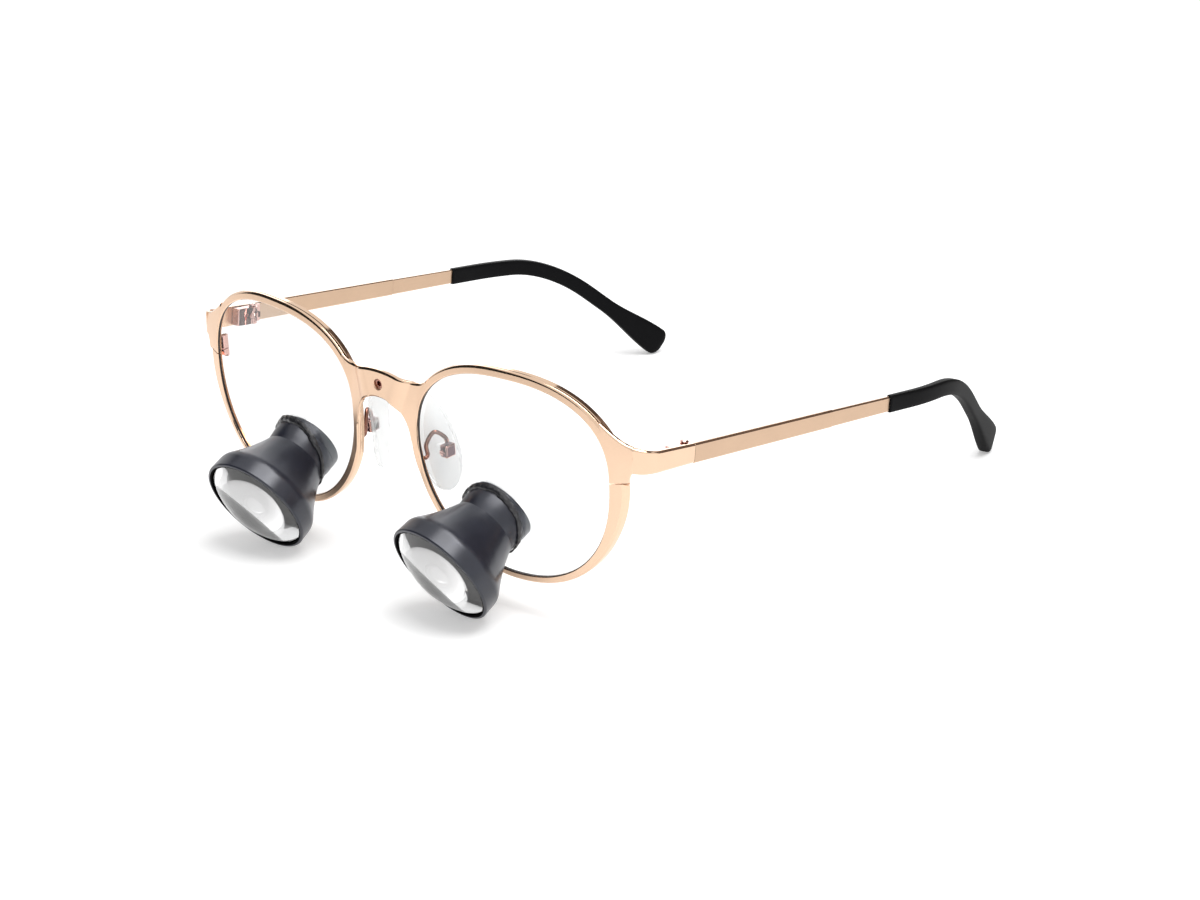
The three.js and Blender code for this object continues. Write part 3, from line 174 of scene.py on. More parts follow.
class TempleSizes(bpy.types.PropertyGroup):
    """Sizes of the temples and their tips."""

    outside: length("Outside", 72.2, "Side distance of a temple's outer face")
    seam: length("Seam", 1.2, "Distance of the seam behind the hinge pin")
    thickness: length("Thickness", 1, "Thickness ahead of the step")
    height: length("Height", 4.5, "Height at the hinge")
    step: length("Step", 49.5, "Distance of the step behind the hinge pin")
    step_height: length("Height at the step", 4.1, "Height just ahead of the step")
    rear_thickness: length("Rear thickness", 0.8, "Thickness behind the step")
    rear_height: length("Rear height", 3.9, "Height just behind the step")
    rear_height_at_tip: length("Rear height at the tip", 3.6, "Height where the tip starts")
    tip_start: length("Tip start", 71, "Distance of the tip behind the hinge pin")
    tip_end: length("Tip end", 138.2, "Distance of the tip's end behind the hinge pin")
    inward_bend: length("Inward bend", 91.5, "Distance at which the line turns inward")
    inward_angle: angle("Inward angle", 19.3, "Inward turn of the rear end")
    ear_bend: length("Ear bend", 103.8, "Distance at which the line turns down")
    drop_angle: angle("Drop angle", 35.3, "Downward turn behind the ear")
    bend_reach: length("Bend reach", 12, "Length of each bend to either side")
    tip_height: length("Tip height", 4.2, "Height of the tip at its start")
    tip_thickness: length("Tip thickness", 1.7, "Thickness of the tip at its start")
    drop_height: length("Drop height", 3.9, "Height of the tip behind the ear")
    drop_thickness: length("Drop thickness", 2.7, "Thickness of the tip behind the ear")
    paddle_height: length("Paddle height", 7.4, "Height of the flared end")
    paddle_length: length("Paddle length", 22, "Length of the flare")
    paddle_thickness: length("Paddle thickness", 3.5, "Thickness of the flared end")


class Finishes(bpy.types.PropertyGroup):
    """Colours of the finishes."""

    rose: colour("Rose gold", (0.80, 0.57, 0.41), "Satin plate of the front")
    # Painted shade: the temples take the front's rose gold set darker, for the dimmer reflections along
    # them.
    rose_temple_shaded: colour("Temple rose gold", (0.59, 0.415, 0.29), "Satin plate of the temples")
    rose_edge: colour("Rose gold edge", (0.79, 0.56, 0.40), "Polished edges of front and temples")
    rose_pink: colour("Pink gold", (0.66, 0.41, 0.36), "Polished hinges, closing blocks and screws")
    # Painted shade: the pad boxes' flat faces take a dark plum that stands for the dark reflections on
    # them; their broken edges stay pink gold.
    plum: colour("Dark plum", (0.11, 0.05, 0.06), "Darkened faces of the pad boxes")
    # Painted shade: rose gold set darker on the sunk bridge screw and the pad arms, for the shade of the
    # screw's hole and the dark reflections on the arms.
    rose_shaded_dark: colour("Dark rose gold", (0.34, 0.17, 0.13), "Plate of the bridge screw and the pad arms")
    charcoal: colour("Charcoal", (0.0135, 0.0155, 0.027), "Anodised telescopes")
    adhesive: colour("Adhesive", (0.012, 0.012, 0.015), "Cured bead round each telescope")
    tip: colour("Tip", (0.0045, 0.0045, 0.005), "Rubber-coated temple tips")
    silicone: colour("Silicone", (0.80, 0.83, 0.82), "Clear nose saddle")


class StudioView(bpy.types.PropertyGroup):
    """The camera's place and lens."""

    azimuth: angle("Azimuth", 42.372, "Turn of the view from straight ahead to the wearer's left")
    elevation: angle("Elevation", 20.9, "Height of the view above the table")
    distance: length("Distance", 780, "Distance of the camera from the point it is aimed past")
    aim: FloatVectorProperty(name="Aim", description="Point on the camera's axis", size=3, unit="LENGTH",
                             subtype="TRANSLATION", default=(0.01489, -0.01355, 0.01770))
    focal: number("Focal length", 98.46, "Focal length in millimetres on a 36 mm wide sensor")


class Sizes:
    """A property group's lengths in millimetres, with its angles and plain numbers as they are."""

    def __init__(self, group):
        for key, prop in type(group).bl_rna.properties.items():
            if key in ("rna_type", "name"):
                continue
            value = getattr(group, key)
            in_metres = prop.unit == "LENGTH" and not prop.is_array
            setattr(self, key, value / MM if in_metres else value)


# Shader expressions

class Flow:
    """A node's output that takes part in Python sums; each sum adds a Math node."""

    def __init__(self, nodes, socket):
        self.nodes = nodes
        self.socket = socket

    def sum(self, operation, first, second):
        return self.nodes.node("ShaderNodeMath", {"operation": operation}, {0: first, 1: second})

    def __add__(self, other):
        return self.sum("ADD", self, other)

    __radd__ = __add__

    def __mul__(self, other):
        return self.sum("MULTIPLY", self, other)

    __rmul__ = __mul__

    def __sub__(self, other):
        return self.sum("SUBTRACT", self, other)

    def __rsub__(self, other):
        return self.sum("SUBTRACT", other, self)

    def __pow__(self, other):
        return self.sum("POWER", self, other)


class Nodes:
    """The node tree of a material or a world."""

    def __init__(self, tree):
        self.tree = tree

    def node(self, kind, setup=None, inputs=None, output=0):
        """Adds a node: its settings first, then the values or links of its sockets."""
        made = self.tree.nodes.new(kind)
        for key, value in (setup or {}).items():
            setattr(made, key, value)
        for key, value in (inputs or {}).items():
            self.feed(made.inputs[key], value)
        return Flow(self, made.outputs[output])

    def feed(self, socket, value):
        if isinstance(value, Flow):
            self.tree.links.new(value.socket, socket)
        else:
            socket.default_value = value

    def seen_directly(self):
        """One for the camera and for what metal and glass show of the room, none for the light it gives."""
        path = self.tree.nodes.new("ShaderNodeLightPath")
        camera, glossy, through = (Flow(self, path.outputs[f"Is {ray} Ray"])
                                   for ray in ("Camera", "Glossy", "Transmission"))
        return camera.sum("MAXIMUM", camera.sum("MAXIMUM", camera, glossy), through)


class Finish(Nodes):
    """A material's node tree round one Principled shader."""

    def __init__(self, name):
        self.material = bpy.data.materials.new(name)
        self.material.use_nodes = True
        super().__init__(self.material.node_tree)
        self.shader = self.tree.nodes["Principled BSDF"]
        self.output = self.tree.nodes["Material Output"]

    def set(self, **values):
        """Sets the shader's sockets; an underscore stands for a space."""
        for key, value in values.items():
            self.feed(self.shader.inputs[key.replace("_", " ")], value)

    def place(self, scale=(1, 1, 1)):
        """Object coordinates in millimetres, stretched by a scale."""
        point = self.node("ShaderNodeTexCoord", output="Object")
        stretch = tuple(s / MM for s in scale)
        return self.node("ShaderNodeMapping", inputs={"Vector": point, "Scale": stretch})

    def noise(self, vector, scale=1.0, detail=2.0, roughness=0.5):
        inputs = {"Vector": vector, "Scale": scale, "Detail": detail, "Roughness": roughness}
        return self.node("ShaderNodeTexNoise", inputs=inputs)

    def span(self, value, low, high, start=0.0, end=1.0):
        """Value taken from one range to another, held at its ends."""
        inputs = {"Value": value, "From Min": low, "From Max": high, "To Min": start, "To Max": end}
        return self.node("ShaderNodeMapRange", {"interpolation_type": "SMOOTHSTEP"}, inputs)

    def blend(self, share, first, second):
        return self.node("ShaderNodeMix", {"data_type": "RGBA"}, {0: share, 6: first, 7: second}, 2)

    def bump(self, height, strength, distance=0.02):
        inputs = {"Height": height, "Strength": strength, "Distance": distance * MM}
        return self.node("ShaderNodeBump", inputs=inputs)

    def attribute(self, name):
        return self.node("ShaderNodeAttribute", {"attribute_name": name}, output="Fac")

    def plain(self):
        return Flow(self, self.shader.outputs[0])

    def surface(self, share, first, second):
        """Shows a mix of two shaders; a share of one is the second alone."""
        mixed = self.node("ShaderNodeMixShader", inputs={0: share, 1: first, 2: second})
        self.feed(self.output.inputs["Surface"], mixed)

    def see_through(self, share):
        """Mixes the shader with plain transparency; a share of one is the shader alone."""
        self.surface(share, self.node("ShaderNodeBsdfTransparent"), self.plain())
        self.material.surface_render_method = "BLENDED"


def tinted(rgb, factor):
    return (*(min(1, c * factor) for c in rgb), 1)


# Materials

def rose_satin(name, rgb, grain):
    """Brushed rose plate; the grain's smallest scale runs along the brushing."""
    finish = Finish(name)
    lines = finish.noise(finish.place(grain), 1, 3, 0.65)
    clouds = finish.noise(finish.place(), 0.12, 2)
    tone = finish.span(clouds * 0.5 + lines * 0.5, 0.3, 0.7)
    finish.set(Base_Color=finish.blend(tone, tinted(rgb, 0.965), tinted(rgb, 1.03)), Metallic=1.0)
    finish.set(Roughness=0.29 + lines * 0.12, Normal=finish.bump(lines, 0.10, 0.015))
    return finish.material


def rose_polished(name, rgb):
    """Polished rose plate with faint polishing marks."""
    finish = Finish(name)
    marks = finish.noise(finish.place((0.4, 2.5, 2.5)), 1, 4)
    finish.set(Base_Color=finish.blend(marks, tinted(rgb, 0.93), tinted(rgb, 1.05)), Metallic=1.0)
    finish.set(Roughness=0.05 + marks * 0.08, Normal=finish.bump(marks, 0.03, 0.02))
    return finish.material


def charcoal_anodised(name, rgb):
    """Satin anodised aluminium with fine turning lines and a faint grain."""
    finish = Finish(name)
    grain = finish.noise(finish.place(), 9, 3, 0.6)
    clouds = finish.noise(finish.place(), 0.25, 2)
    lines = {"W": finish.attribute("along"), "Scale": 7, "Detail": 3}
    turning = finish.node("ShaderNodeTexNoise", {"noise_dimensions": "1D"}, lines)
    tone = finish.span(clouds * 0.6 + grain * 0.4, 0.3, 0.7)
    finish.set(Base_Color=finish.blend(tone, tinted(rgb, 0.85), tinted(rgb, 1.2)), Metallic=0.25)
    finish.set(Roughness=0.22 + grain * 0.10 + turning * 0.06, Specular_IOR_Level=0.8)
    finish.set(Normal=finish.bump(grain * 0.5 + turning * 0.5, 0.16, 0.012))
    return finish.material


def dark_groove(name):
    """Wall along a lens opening, where the lens is bedded, in painted shade: dark colour standing for the
    groove's shadow and the lens edge seen through the lens.
    """
    finish = Finish(name)
    grain = finish.noise(finish.place(), 2, 3)
    finish.set(Base_Color=finish.blend(grain, (0.016, 0.011, 0.011, 1), (0.034, 0.023, 0.021, 1)))
    finish.set(Roughness=0.35 + grain * 0.2, Specular_IOR_Level=0.3)
    return finish.material


def inner_black(name):
    """Flat black of the housings' insides, the retaining rings and the edges of the glass."""
    finish = Finish(name)
    grain = finish.noise(finish.place(), 5, 2)
    finish.set(Base_Color=finish.blend(grain, (0.001, 0.001, 0.001, 1), (0.003, 0.003, 0.004, 1)))
    finish.set(Roughness=0.6 + grain * 0.3, Specular_IOR_Level=0.03)
    return finish.material


def cured_bead(name, rgb):
    """Dark glossy adhesive with small ripples."""
    finish = Finish(name)
    ripples = finish.noise(finish.place(), 2, 4, 0.6)
    finish.set(Base_Color=finish.blend(ripples, tinted(rgb, 0.7), tinted(rgb, 1.6)))
    finish.set(Roughness=0.10 + ripples * 0.22, Normal=finish.bump(ripples, 0.8, 0.25), Coat_Weight=0.4)
    return finish.material


def coated_glass(name):
    """Solid optical glass with faint smears."""
    finish = Finish(name)
    smears = finish.noise(finish.place(), 0.15, 3)
    finish.set(Base_Color=finish.blend(smears, (0.985, 0.988, 0.992, 1), (1, 1, 1, 1)))
    finish.set(Roughness=0.0, IOR=1.8, Transmission_Weight=1.0, Specular_IOR_Level=0.05)
    return finish.material


def clear_lens(name):
    """Thin carrier lens: clear face on, with gloss where it turns away."""
    finish = Finish(name)
    smears = finish.noise(finish.place(), 0.08, 3)
    finish.set(Base_Color=(0.85, 0.9, 0.92, 1), Roughness=0.01 + smears * 0.02)
    rim = finish.node("ShaderNodeFresnel", inputs={"IOR": 1.38})
    finish.see_through(rim * 0.25 + 0.003)
    return finish.material


def lens_edge(name):
    """Ground edge of a carrier lens: grey-blue and nearly clear."""
    finish = Finish(name)
    frost = finish.noise(finish.place(), 2.2, 3)
    finish.set(Base_Color=finish.blend(frost, (0.30, 0.34, 0.40, 1), (0.50, 0.54, 0.60, 1)), Roughness=0.2)
    finish.see_through(frost * 0.08 + 0.03)
    return finish.material


def clear_silicone(name, rgb):
    """Clear soft silicone: almost invisible face on, with painted grey contours where it turns away,
    painted shade standing for the dark edges that refraction shows.
    """
    finish = Finish(name)
    flow = finish.noise(finish.place(), 0.5, 3)
    turned_away = finish.node("ShaderNodeLayerWeight", inputs={"Blend": 0.32}, output="Facing")
    # Painted shade: grey and less clear where the surface turns away from the view.
    edge = turned_away ** 7 * 1.7
    finish.set(Base_Color=finish.blend(edge, tinted(rgb, 1.15), tinted(rgb, 0.42)))
    finish.set(Roughness=0.12 + flow * 0.1, Normal=finish.bump(flow, 0.1, 0.2))
    finish.see_through(edge + 0.015)
    return finish.material


def silicone_fold(name, rgb):
    """Edges and folds of the clear silicone, painted as thin grey lines: painted shade for the dark
    contours that refraction shows there.
    """
    finish = Finish(name)
    flow = finish.noise(finish.place(), 0.6, 3)
    finish.set(Base_Color=finish.blend(flow, tinted(rgb, 0.35), tinted(rgb, 0.6)))
    finish.set(Roughness=0.12 + flow * 0.1)
    finish.see_through(finish.span(flow, 0.35, 0.65, 0.06, 0.34))
    return finish.material


def rubber_black(name, rgb):
    """Matte rubber coat with a fine grain."""
    finish = Finish(name)
    grain = finish.noise(finish.place(), 6, 3, 0.6)
    clouds = finish.noise(finish.place(), 0.2, 2)
    finish.set(Base_Color=finish.blend(clouds, tinted(rgb, 0.8), tinted(rgb, 1.35)))
    finish.set(Roughness=0.40 + grain * 0.18, IOR=1.14, Normal=finish.bump(grain, 0.12, 0.02))
    return finish.material


def finishes():
    """The materials by name, made once for all operators."""
    tints = bpy.context.scene.loupes_finishes
    makers = {
        "front_satin": lambda name: rose_satin(name, tints.rose, (0.35, 5, 5)),
        "temple_satin": lambda name: rose_satin(name, tints.rose_temple_shaded, (5, 0.3, 5)),
        "polished_rose": lambda name: rose_polished(name, tints.rose_edge),
        "polished_pink": lambda name: rose_polished(name, tints.rose_pink),
        "dark_plum": lambda name: rose_polished(name, tints.plum),
        "screw_rose": lambda name: rose_polished(name, tints.rose_shaded_dark),
        "charcoal_anodised": lambda name: charcoal_anodised(name, tints.charcoal),
        "dark_groove": dark_groove,
        "inner_black": inner_black,
        "cured_bead": lambda name: cured_bead(name, tints.adhesive),
        "coated_glass": coated_glass,
        "clear_lens": clear_lens,
        "lens_edge": lens_edge,
        "clear_silicone": lambda name: clear_silicone(name, tints.silicone),
        "silicone_fold": lambda name: silicone_fold(name, tints.silicone),
        "rubber_black": lambda name: rubber_black(name, tints.tip),
    }
    return {name: bpy.data.materials.get(name) or make(name) for name, make in makers.items()}


# Modelling in millimetres, before a piece is set in place

def activate(piece):
    bpy.ops.object.select_all(action="DESELECT")
    piece.select_set(True)
    bpy.context.view_layer.objects.active = piece


def finished(piece, *names):
    """Gives a piece its materials, in the order of its faces' material numbers."""
    stock = finishes()
    for name in names:
        piece.data.materials.append(stock[name])
    return piece


def shape(piece, kind, **values):
    """Adds a modifier and applies it."""
    activate(piece)
    modifier = piece.modifiers.new(kind.lower(), kind)
    for key, value in values.items():
        setattr(modifier, key, value)
    bpy.ops.object.modifier_apply(modifier=modifier.name)
    return piece


def combine(piece, other, operation):
    shape(piece, "BOOLEAN", object=other, operation=operation, solver="EXACT")
    bpy.data.objects.remove(other)
    return piece


def cut(piece, tool):
    return combine(piece, tool, "DIFFERENCE")


def join(piece, other):
    return combine(piece, other, "UNION")


def smooth(piece, degrees=30):
    activate(piece)
    bpy.ops.object.shade_smooth_by_angle(angle=math.radians(degrees))
    return piece


def break_edges(piece, width, segments=2, degrees=30, material=-1):
    """Rounds every edge sharper than an angle."""
    return shape(piece, "BEVEL", width=width, segments=segments, limit_method="ANGLE", material=material,
                 angle_limit=math.radians(degrees), harden_normals=False, use_clamp_overlap=True)


def set_in_place(piece, matrix):
    """Takes a piece from millimetres in its own frame to metres in the part's frame."""
    piece.data.transform(Matrix.Scale(MM, 4) @ matrix)
    return piece


def skin(name, rings, closed=False, edges=(), groove=()):
    """Surface through rings of points; some spans take the second material, some the third, such as the
    painted groove shade along a lens opening.
    """
    count = len(rings[0])
    faces = []
    marks = []
    for i in range(len(rings) if closed else len(rings) - 1):
        here = i * count
        after = (i + 1) % len(rings) * count
        for j in range(count):
            k = (j + 1) % count
            faces.append((here + j, here + k, after + k, after + j))
            marks.append(2 if j in groove else int(j in edges))
    if not closed:
        faces.append(tuple(range(count)))
        faces.append(tuple(range((len(rings) - 1) * count, len(rings) * count)))
        marks += [int(bool(edges))] * 2
    mesh = bpy.data.meshes.new(name)
    mesh.from_pydata([tuple(p) for ring in rings for p in ring], [], faces)
    mesh.polygons.foreach_set("material_index", marks)
    piece = bpy.data.objects.new(name, mesh)
    bpy.context.scene.collection.objects.link(piece)
    return outward(piece)


def outward(piece, threshold=0.0005):
    """Merges doubles and turns every face of a closed shape outward."""
    activate(piece)
    bpy.ops.object.mode_set(mode="EDIT")
    bpy.ops.mesh.select_all(action="SELECT")
    bpy.ops.mesh.remove_doubles(threshold=threshold)
    bpy.ops.mesh.normals_make_consistent(inside=False)
    bpy.ops.object.mode_set(mode="OBJECT")
    return piece


def turned(name, profile, sides=96):
    """Turned piece about Z: a circle is extruded and resized along [radius, height] points."""
    bpy.ops.object.select_all(action="DESELECT")
    least = 0.001
    profile = [(max(radius, least), height) for radius, height in profile]
    radius, height = profile[0]
    bpy.ops.mesh.primitive_circle_add(vertices=sides, radius=radius, location=(0, 0, height))
    piece = bpy.context.object
    piece.name = name
    bpy.ops.object.transform_apply(location=True)
    bpy.ops.object.mode_set(mode="EDIT")
    bpy.ops.mesh.select_all(action="SELECT")
    for wider, further in profile[1:]:
        bpy.ops.mesh.extrude_edges_move(TRANSFORM_OT_translate={"value": (0, 0, further - height)})
        grow = wider / radius
        bpy.ops.transform.resize(value=(grow, grow, 1), center_override=(0, 0, further))
        radius, height = wider, further
    bpy.ops.object.mode_set(mode="OBJECT")
    return outward(piece, 0.004)


def block(name, low, high):
    """Cube brought to two corners."""
    bpy.ops.object.select_all(action="DESELECT")
    low, high = Vector(low), Vector(high)
    bpy.ops.mesh.primitive_cube_add(size=1, location=(low + high) / 2, scale=high - low)
    piece = bpy.context.object
    piece.name = name
    bpy.ops.object.transform_apply(location=True, scale=True)
    return piece


def upright_round(name, place, radius, low, high, sides=40):
    """Round bar along Z at a place."""
    piece = turned(name, [(0, low), (radius, low), (radius, high), (0, high)], sides)
    piece.data.transform(Matrix.Translation((place[0], place[1], 0)))
    return piece


def lathe_marks(piece):
    """Notes each point's distance along the turning axis, for the turning lines."""
    along = piece.data.attributes.new("along", "FLOAT", "POINT")
    along.data.foreach_set("value", [v.co.z for v in piece.data.vertices])


def stand_in(piece, nodes, body):
    """Lets a finished piece stand for its CAD nodes."""
    piece.name = "shown_" + nodes[0]
    piece.data.name = piece.name
    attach(piece, body)
    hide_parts(*nodes)


def mirrored(piece):
    other = piece.copy()
    other.data = piece.data.copy()
    bpy.context.scene.collection.objects.link(other)
    other.data.transform(Matrix.Diagonal((-1, 1, 1, 1)))
    other.data.flip_normals()
    return other


def stand_in_pair(piece, nodes, body="front"):
    """Shows a piece on the wearer's left and its mirror image on the right."""
    nodes = [nodes] if isinstance(nodes, str) else nodes
    for side, each in zip(SIDES, (piece, mirrored(piece))):
        carrier = f"{side}_arm" if body == "arm" else body
        stand_in(each, [f"{side}_{node}" for node in nodes], carrier)


# Shapes

def mix(first, second, share):
    return first + (second - first) * share


def ease(value, low, high):
    share = min(1, max(0, (value - low) / (high - low)))
    return share * share * (3 - 2 * share)


def signed_power(value, power):
    return math.copysign(abs(value) ** power, value)


def smooth_line(points, steps):
    """Points along a smooth curve through some points, evenly spaced."""
    points = [Vector(p) for p in points]
    ends = [2 * points[0] - points[1], *points, 2 * points[-1] - points[-2]]
    fine = []
    for a, b, c, d in zip(ends, ends[1:], ends[2:], ends[3:]):
        for k in range(40):
            s = k / 40
            square = (2 * a - 5 * b + 4 * c - d) * s * s
            cube = (3 * b - a - 3 * c + d) * s ** 3
            fine.append(0.5 * (2 * b + (c - a) * s + square + cube))
    fine.append(points[-1])
    reached = [0]
    for p, q in zip(fine, fine[1:]):
        reached.append(reached[-1] + (q - p).length)
    line = []
    at = 0
    for i in range(steps + 1):
        goal = reached[-1] * i / steps
        while at < len(fine) - 2 and reached[at + 1] < goal:
            at += 1
        share = (goal - reached[at]) / max(1e-9, reached[at + 1] - reached[at])
        line.append(fine[at].lerp(fine[at + 1], min(1, share)))
    return line


def worn_matrix():
    """From as worn, with the hinge pins on Y = 0, to the part's frame, in millimetres."""
    up = Vector(LEFT_FOLD["axis"]).normalized()
    across = Vector((1, 0, 0))
    turn = Matrix((across, up.cross(across), up)).transposed().to_4x4()
    pin = Vector(LEFT_FOLD["pos_m"]) / MM
    return Matrix.Translation((0, pin.y, pin.z)) @ turn


class FrontShape(Sizes):
    """The front's dome and the outline of its lens openings, in the front's own axes."""

    def __init__(self):
        super().__init__(bpy.context.scene.loupes_front)
        lean = Matrix.Rotation(self.tilt, 4, "X")
        self.matrix = worn_matrix() @ Matrix.Translation((0, -self.ahead, -self.below)) @ lean

    def depth(self, x, v):
        across = abs(x) - self.face_vertex
        lift = self.nose_lift * max(0, self.opening_centre - self.nasal - abs(x))
        return self.face_radius - math.sqrt(self.face_radius ** 2 - across ** 2 - v ** 2) - lift

    def opening(self, t):
        c = math.cos(t)
        s = math.sin(t)
        lower = self.lower_nasal_power if c < 0 else self.lower_temporal_power
        power = self.upper_power if s > 0 else lower
        x = (self.nasal if c < 0 else self.temporal) * signed_power(c, 2 / power)
        v = (self.lower if s < 0 else self.upper) * signed_power(s, 2 / power)
        return Vector((self.opening_centre + x, self.opening_rise + v))

    def offset(self, t, distance):
        """Point outside the opening's edge by a distance."""
        along = (self.opening(t + 0.02) - self.opening(t - 0.02)).normalized()
        return self.opening(t) + Vector((along.y, -along.x)) * distance

    def on_face(self, x, v, back=0):
        return Vector((x, self.depth(x, v) + back, v))

    def turns(self, count):
        return [(i + 0.5) * WHOLE_TURN / count for i in range(count)]

    def ring(self, section):
        """Rings round the opening from [outward, back] points."""
        rings = []
        for t in self.turns(RIM_STATIONS):
            places = [(self.offset(t, out), back) for out, back in section(t)]
            rings.append([self.on_face(p.x, p.y, back) for p, back in places])
        return rings

    def rim_face(self, t):
        away = math.atan2(math.sin(t), math.cos(t)) / 0.42
        return mix(self.rim_width, self.slit_rim_width, math.exp(-away * away))

    def slit_tool(self):
        edge = self.opening_centre + self.temporal
        half = self.slit_width / 2
        reach = self.slit_rim_width
        tool = block("slit", (-reach, -30, -half), (2 * reach, 30, half))
        lean = Matrix.Rotation(-self.slit_lean, 4, "Y")
        tool.data.transform(Matrix.Translation((edge, 0, self.slit_rise)) @ lean)
        return tool

    def opening_tool(self, out):
        loop = [self.offset(t, out) for t in self.turns(RIM_STATIONS)]
        return skin("opening", [[Vector((p.x, w, p.y)) for p in loop] for w in (-40, 40)])

    def inside(self, worn):
        """A point given as worn, in the front's axes."""
        back = Matrix.Rotation(-self.tilt, 4, "X")
        return back @ (Vector(worn) + Vector((0, self.ahead, self.below)))


# Operators

def lamp(name, direction, distance, size, power):
    """Square softbox that faces the loupes."""
    direction = Vector(direction).normalized()
    facing = direction.to_track_quat("Z", "Y").to_euler()
    bpy.ops.object.light_add(type="AREA", location=direction * distance, rotation=facing)
    light = bpy.context.object
    light.name = name
    light.data.shape = "SQUARE"
    light.data.size = size
    light.data.energy = power


def card(name, low, high, width, rgb):
    """Dark card between a low and a high edge, which only reflections see."""
    low, high = Vector(low), Vector(high)
    middle = (low + high) / 2
    across = Vector((-middle.y, middle.x, 0)).normalized()
    rise = high - low
    bpy.ops.mesh.primitive_plane_add(size=1)
    plane = bpy.context.object
    plane.name = name
    turn = Matrix((across * width, rise, across.cross(rise))).transposed().to_4x4()
    plane.data.transform(Matrix.Translation(middle) @ turn)
    finish = Finish(name)
    tone = finish.noise(finish.place(), 0.01)
    finish.set(Base_Color=finish.blend(tone, tinted(rgb, 0.8), tinted(rgb, 1.2)), Roughness=1.0)
    plane.data.materials.append(finish.material)
    for ray in ("camera", "diffuse", "shadow", "transmission"):
        setattr(plane, "visible_" + ray, False)


class LOUPES_OT_studio(bpy.types.Operator):
    """Adds the white table, the softboxes, the dark cards and the camera"""

    bl_idname = "loupes.studio"
    bl_label = "Studio"

    def execute(self, context):
        bpy.ops.object.select_all(action="DESELECT")
        self.table()
        self.room(context.scene)
        lamp("overhead_softbox", (0.2, -0.02, 1), 0.75, 0.5, 3.9)
        lamp("side_softbox", (0.5, -0.04, 0.85), 0.75, 0.22, 1.0)
        lamp("rear_softbox", (-0.75, 0.75, 0.30), 0.9, 0.5, 1.3)
        brown = (0.105, 0.08, 0.07)
        black = (0.012, 0.011, 0.010)
        card("rear_card", (0.14, 0.19, 0.001), (0.17, 0.44, 0.62), 0.40, brown)
        card("upper_card", (0.225, 0.38, 0.553), (0.14, 0.198, 0.69), 0.95, brown)
        card("front_card", (-0.62, -0.74, 0.05), (-0.32, -0.38, 0.72), 1.7, black)
        self.camera(context.scene)
        return {"FINISHED"}

    def table(self):
        bpy.ops.mesh.primitive_plane_add(size=8)
        table = bpy.context.object
        table.name = "table"
        finish = Finish("white_table")
        speck = finish.noise(finish.place(), 0.02)
        finish.set(Base_Color=finish.blend(speck, (0.79, 0.79, 0.79, 1), (0.81, 0.81, 0.81, 1)))
        finish.set(Roughness=1.0, Specular_IOR_Level=0.0)
        glow = finish.node("ShaderNodeEmission", inputs={"Color": (1, 1, 1, 1), "Strength": 0.34})
        lit = finish.node("ShaderNodeAddShader", inputs={0: finish.plain(), 1: glow})
        finish.surface(finish.seen_directly(), finish.plain(), lit)
        table.data.materials.append(finish.material)

    def room(self, scene):
        scene.world = bpy.data.worlds.new("white_room")
        scene.world.use_nodes = True
        room = Nodes(scene.world.node_tree)
        background = room.tree.nodes["Background"]
        room.feed(background.inputs["Strength"], 0.55 + room.seen_directly() * 0.45)
        background.inputs["Color"].default_value = (1, 1, 1, 1)

    def camera(self, scene):
        view = Sizes(scene.loupes_view)
        level = math.cos(view.elevation)
        ahead = -math.cos(view.azimuth) * level
        back = Vector((math.sin(view.azimuth) * level, ahead, math.sin(view.elevation)))
        bpy.ops.object.camera_add(location=Vector(view.aim) + back * view.distance * MM,
                                  rotation=(math.pi / 2 - view.elevation, 0, view.azimuth))
        camera = bpy.context.object
        camera.data.lens = view.focal
        camera.data.sensor_width = 36
        camera.data.clip_start = 0.01
        scene.camera = camera
        scene.view_settings.view_transform = "Standard"


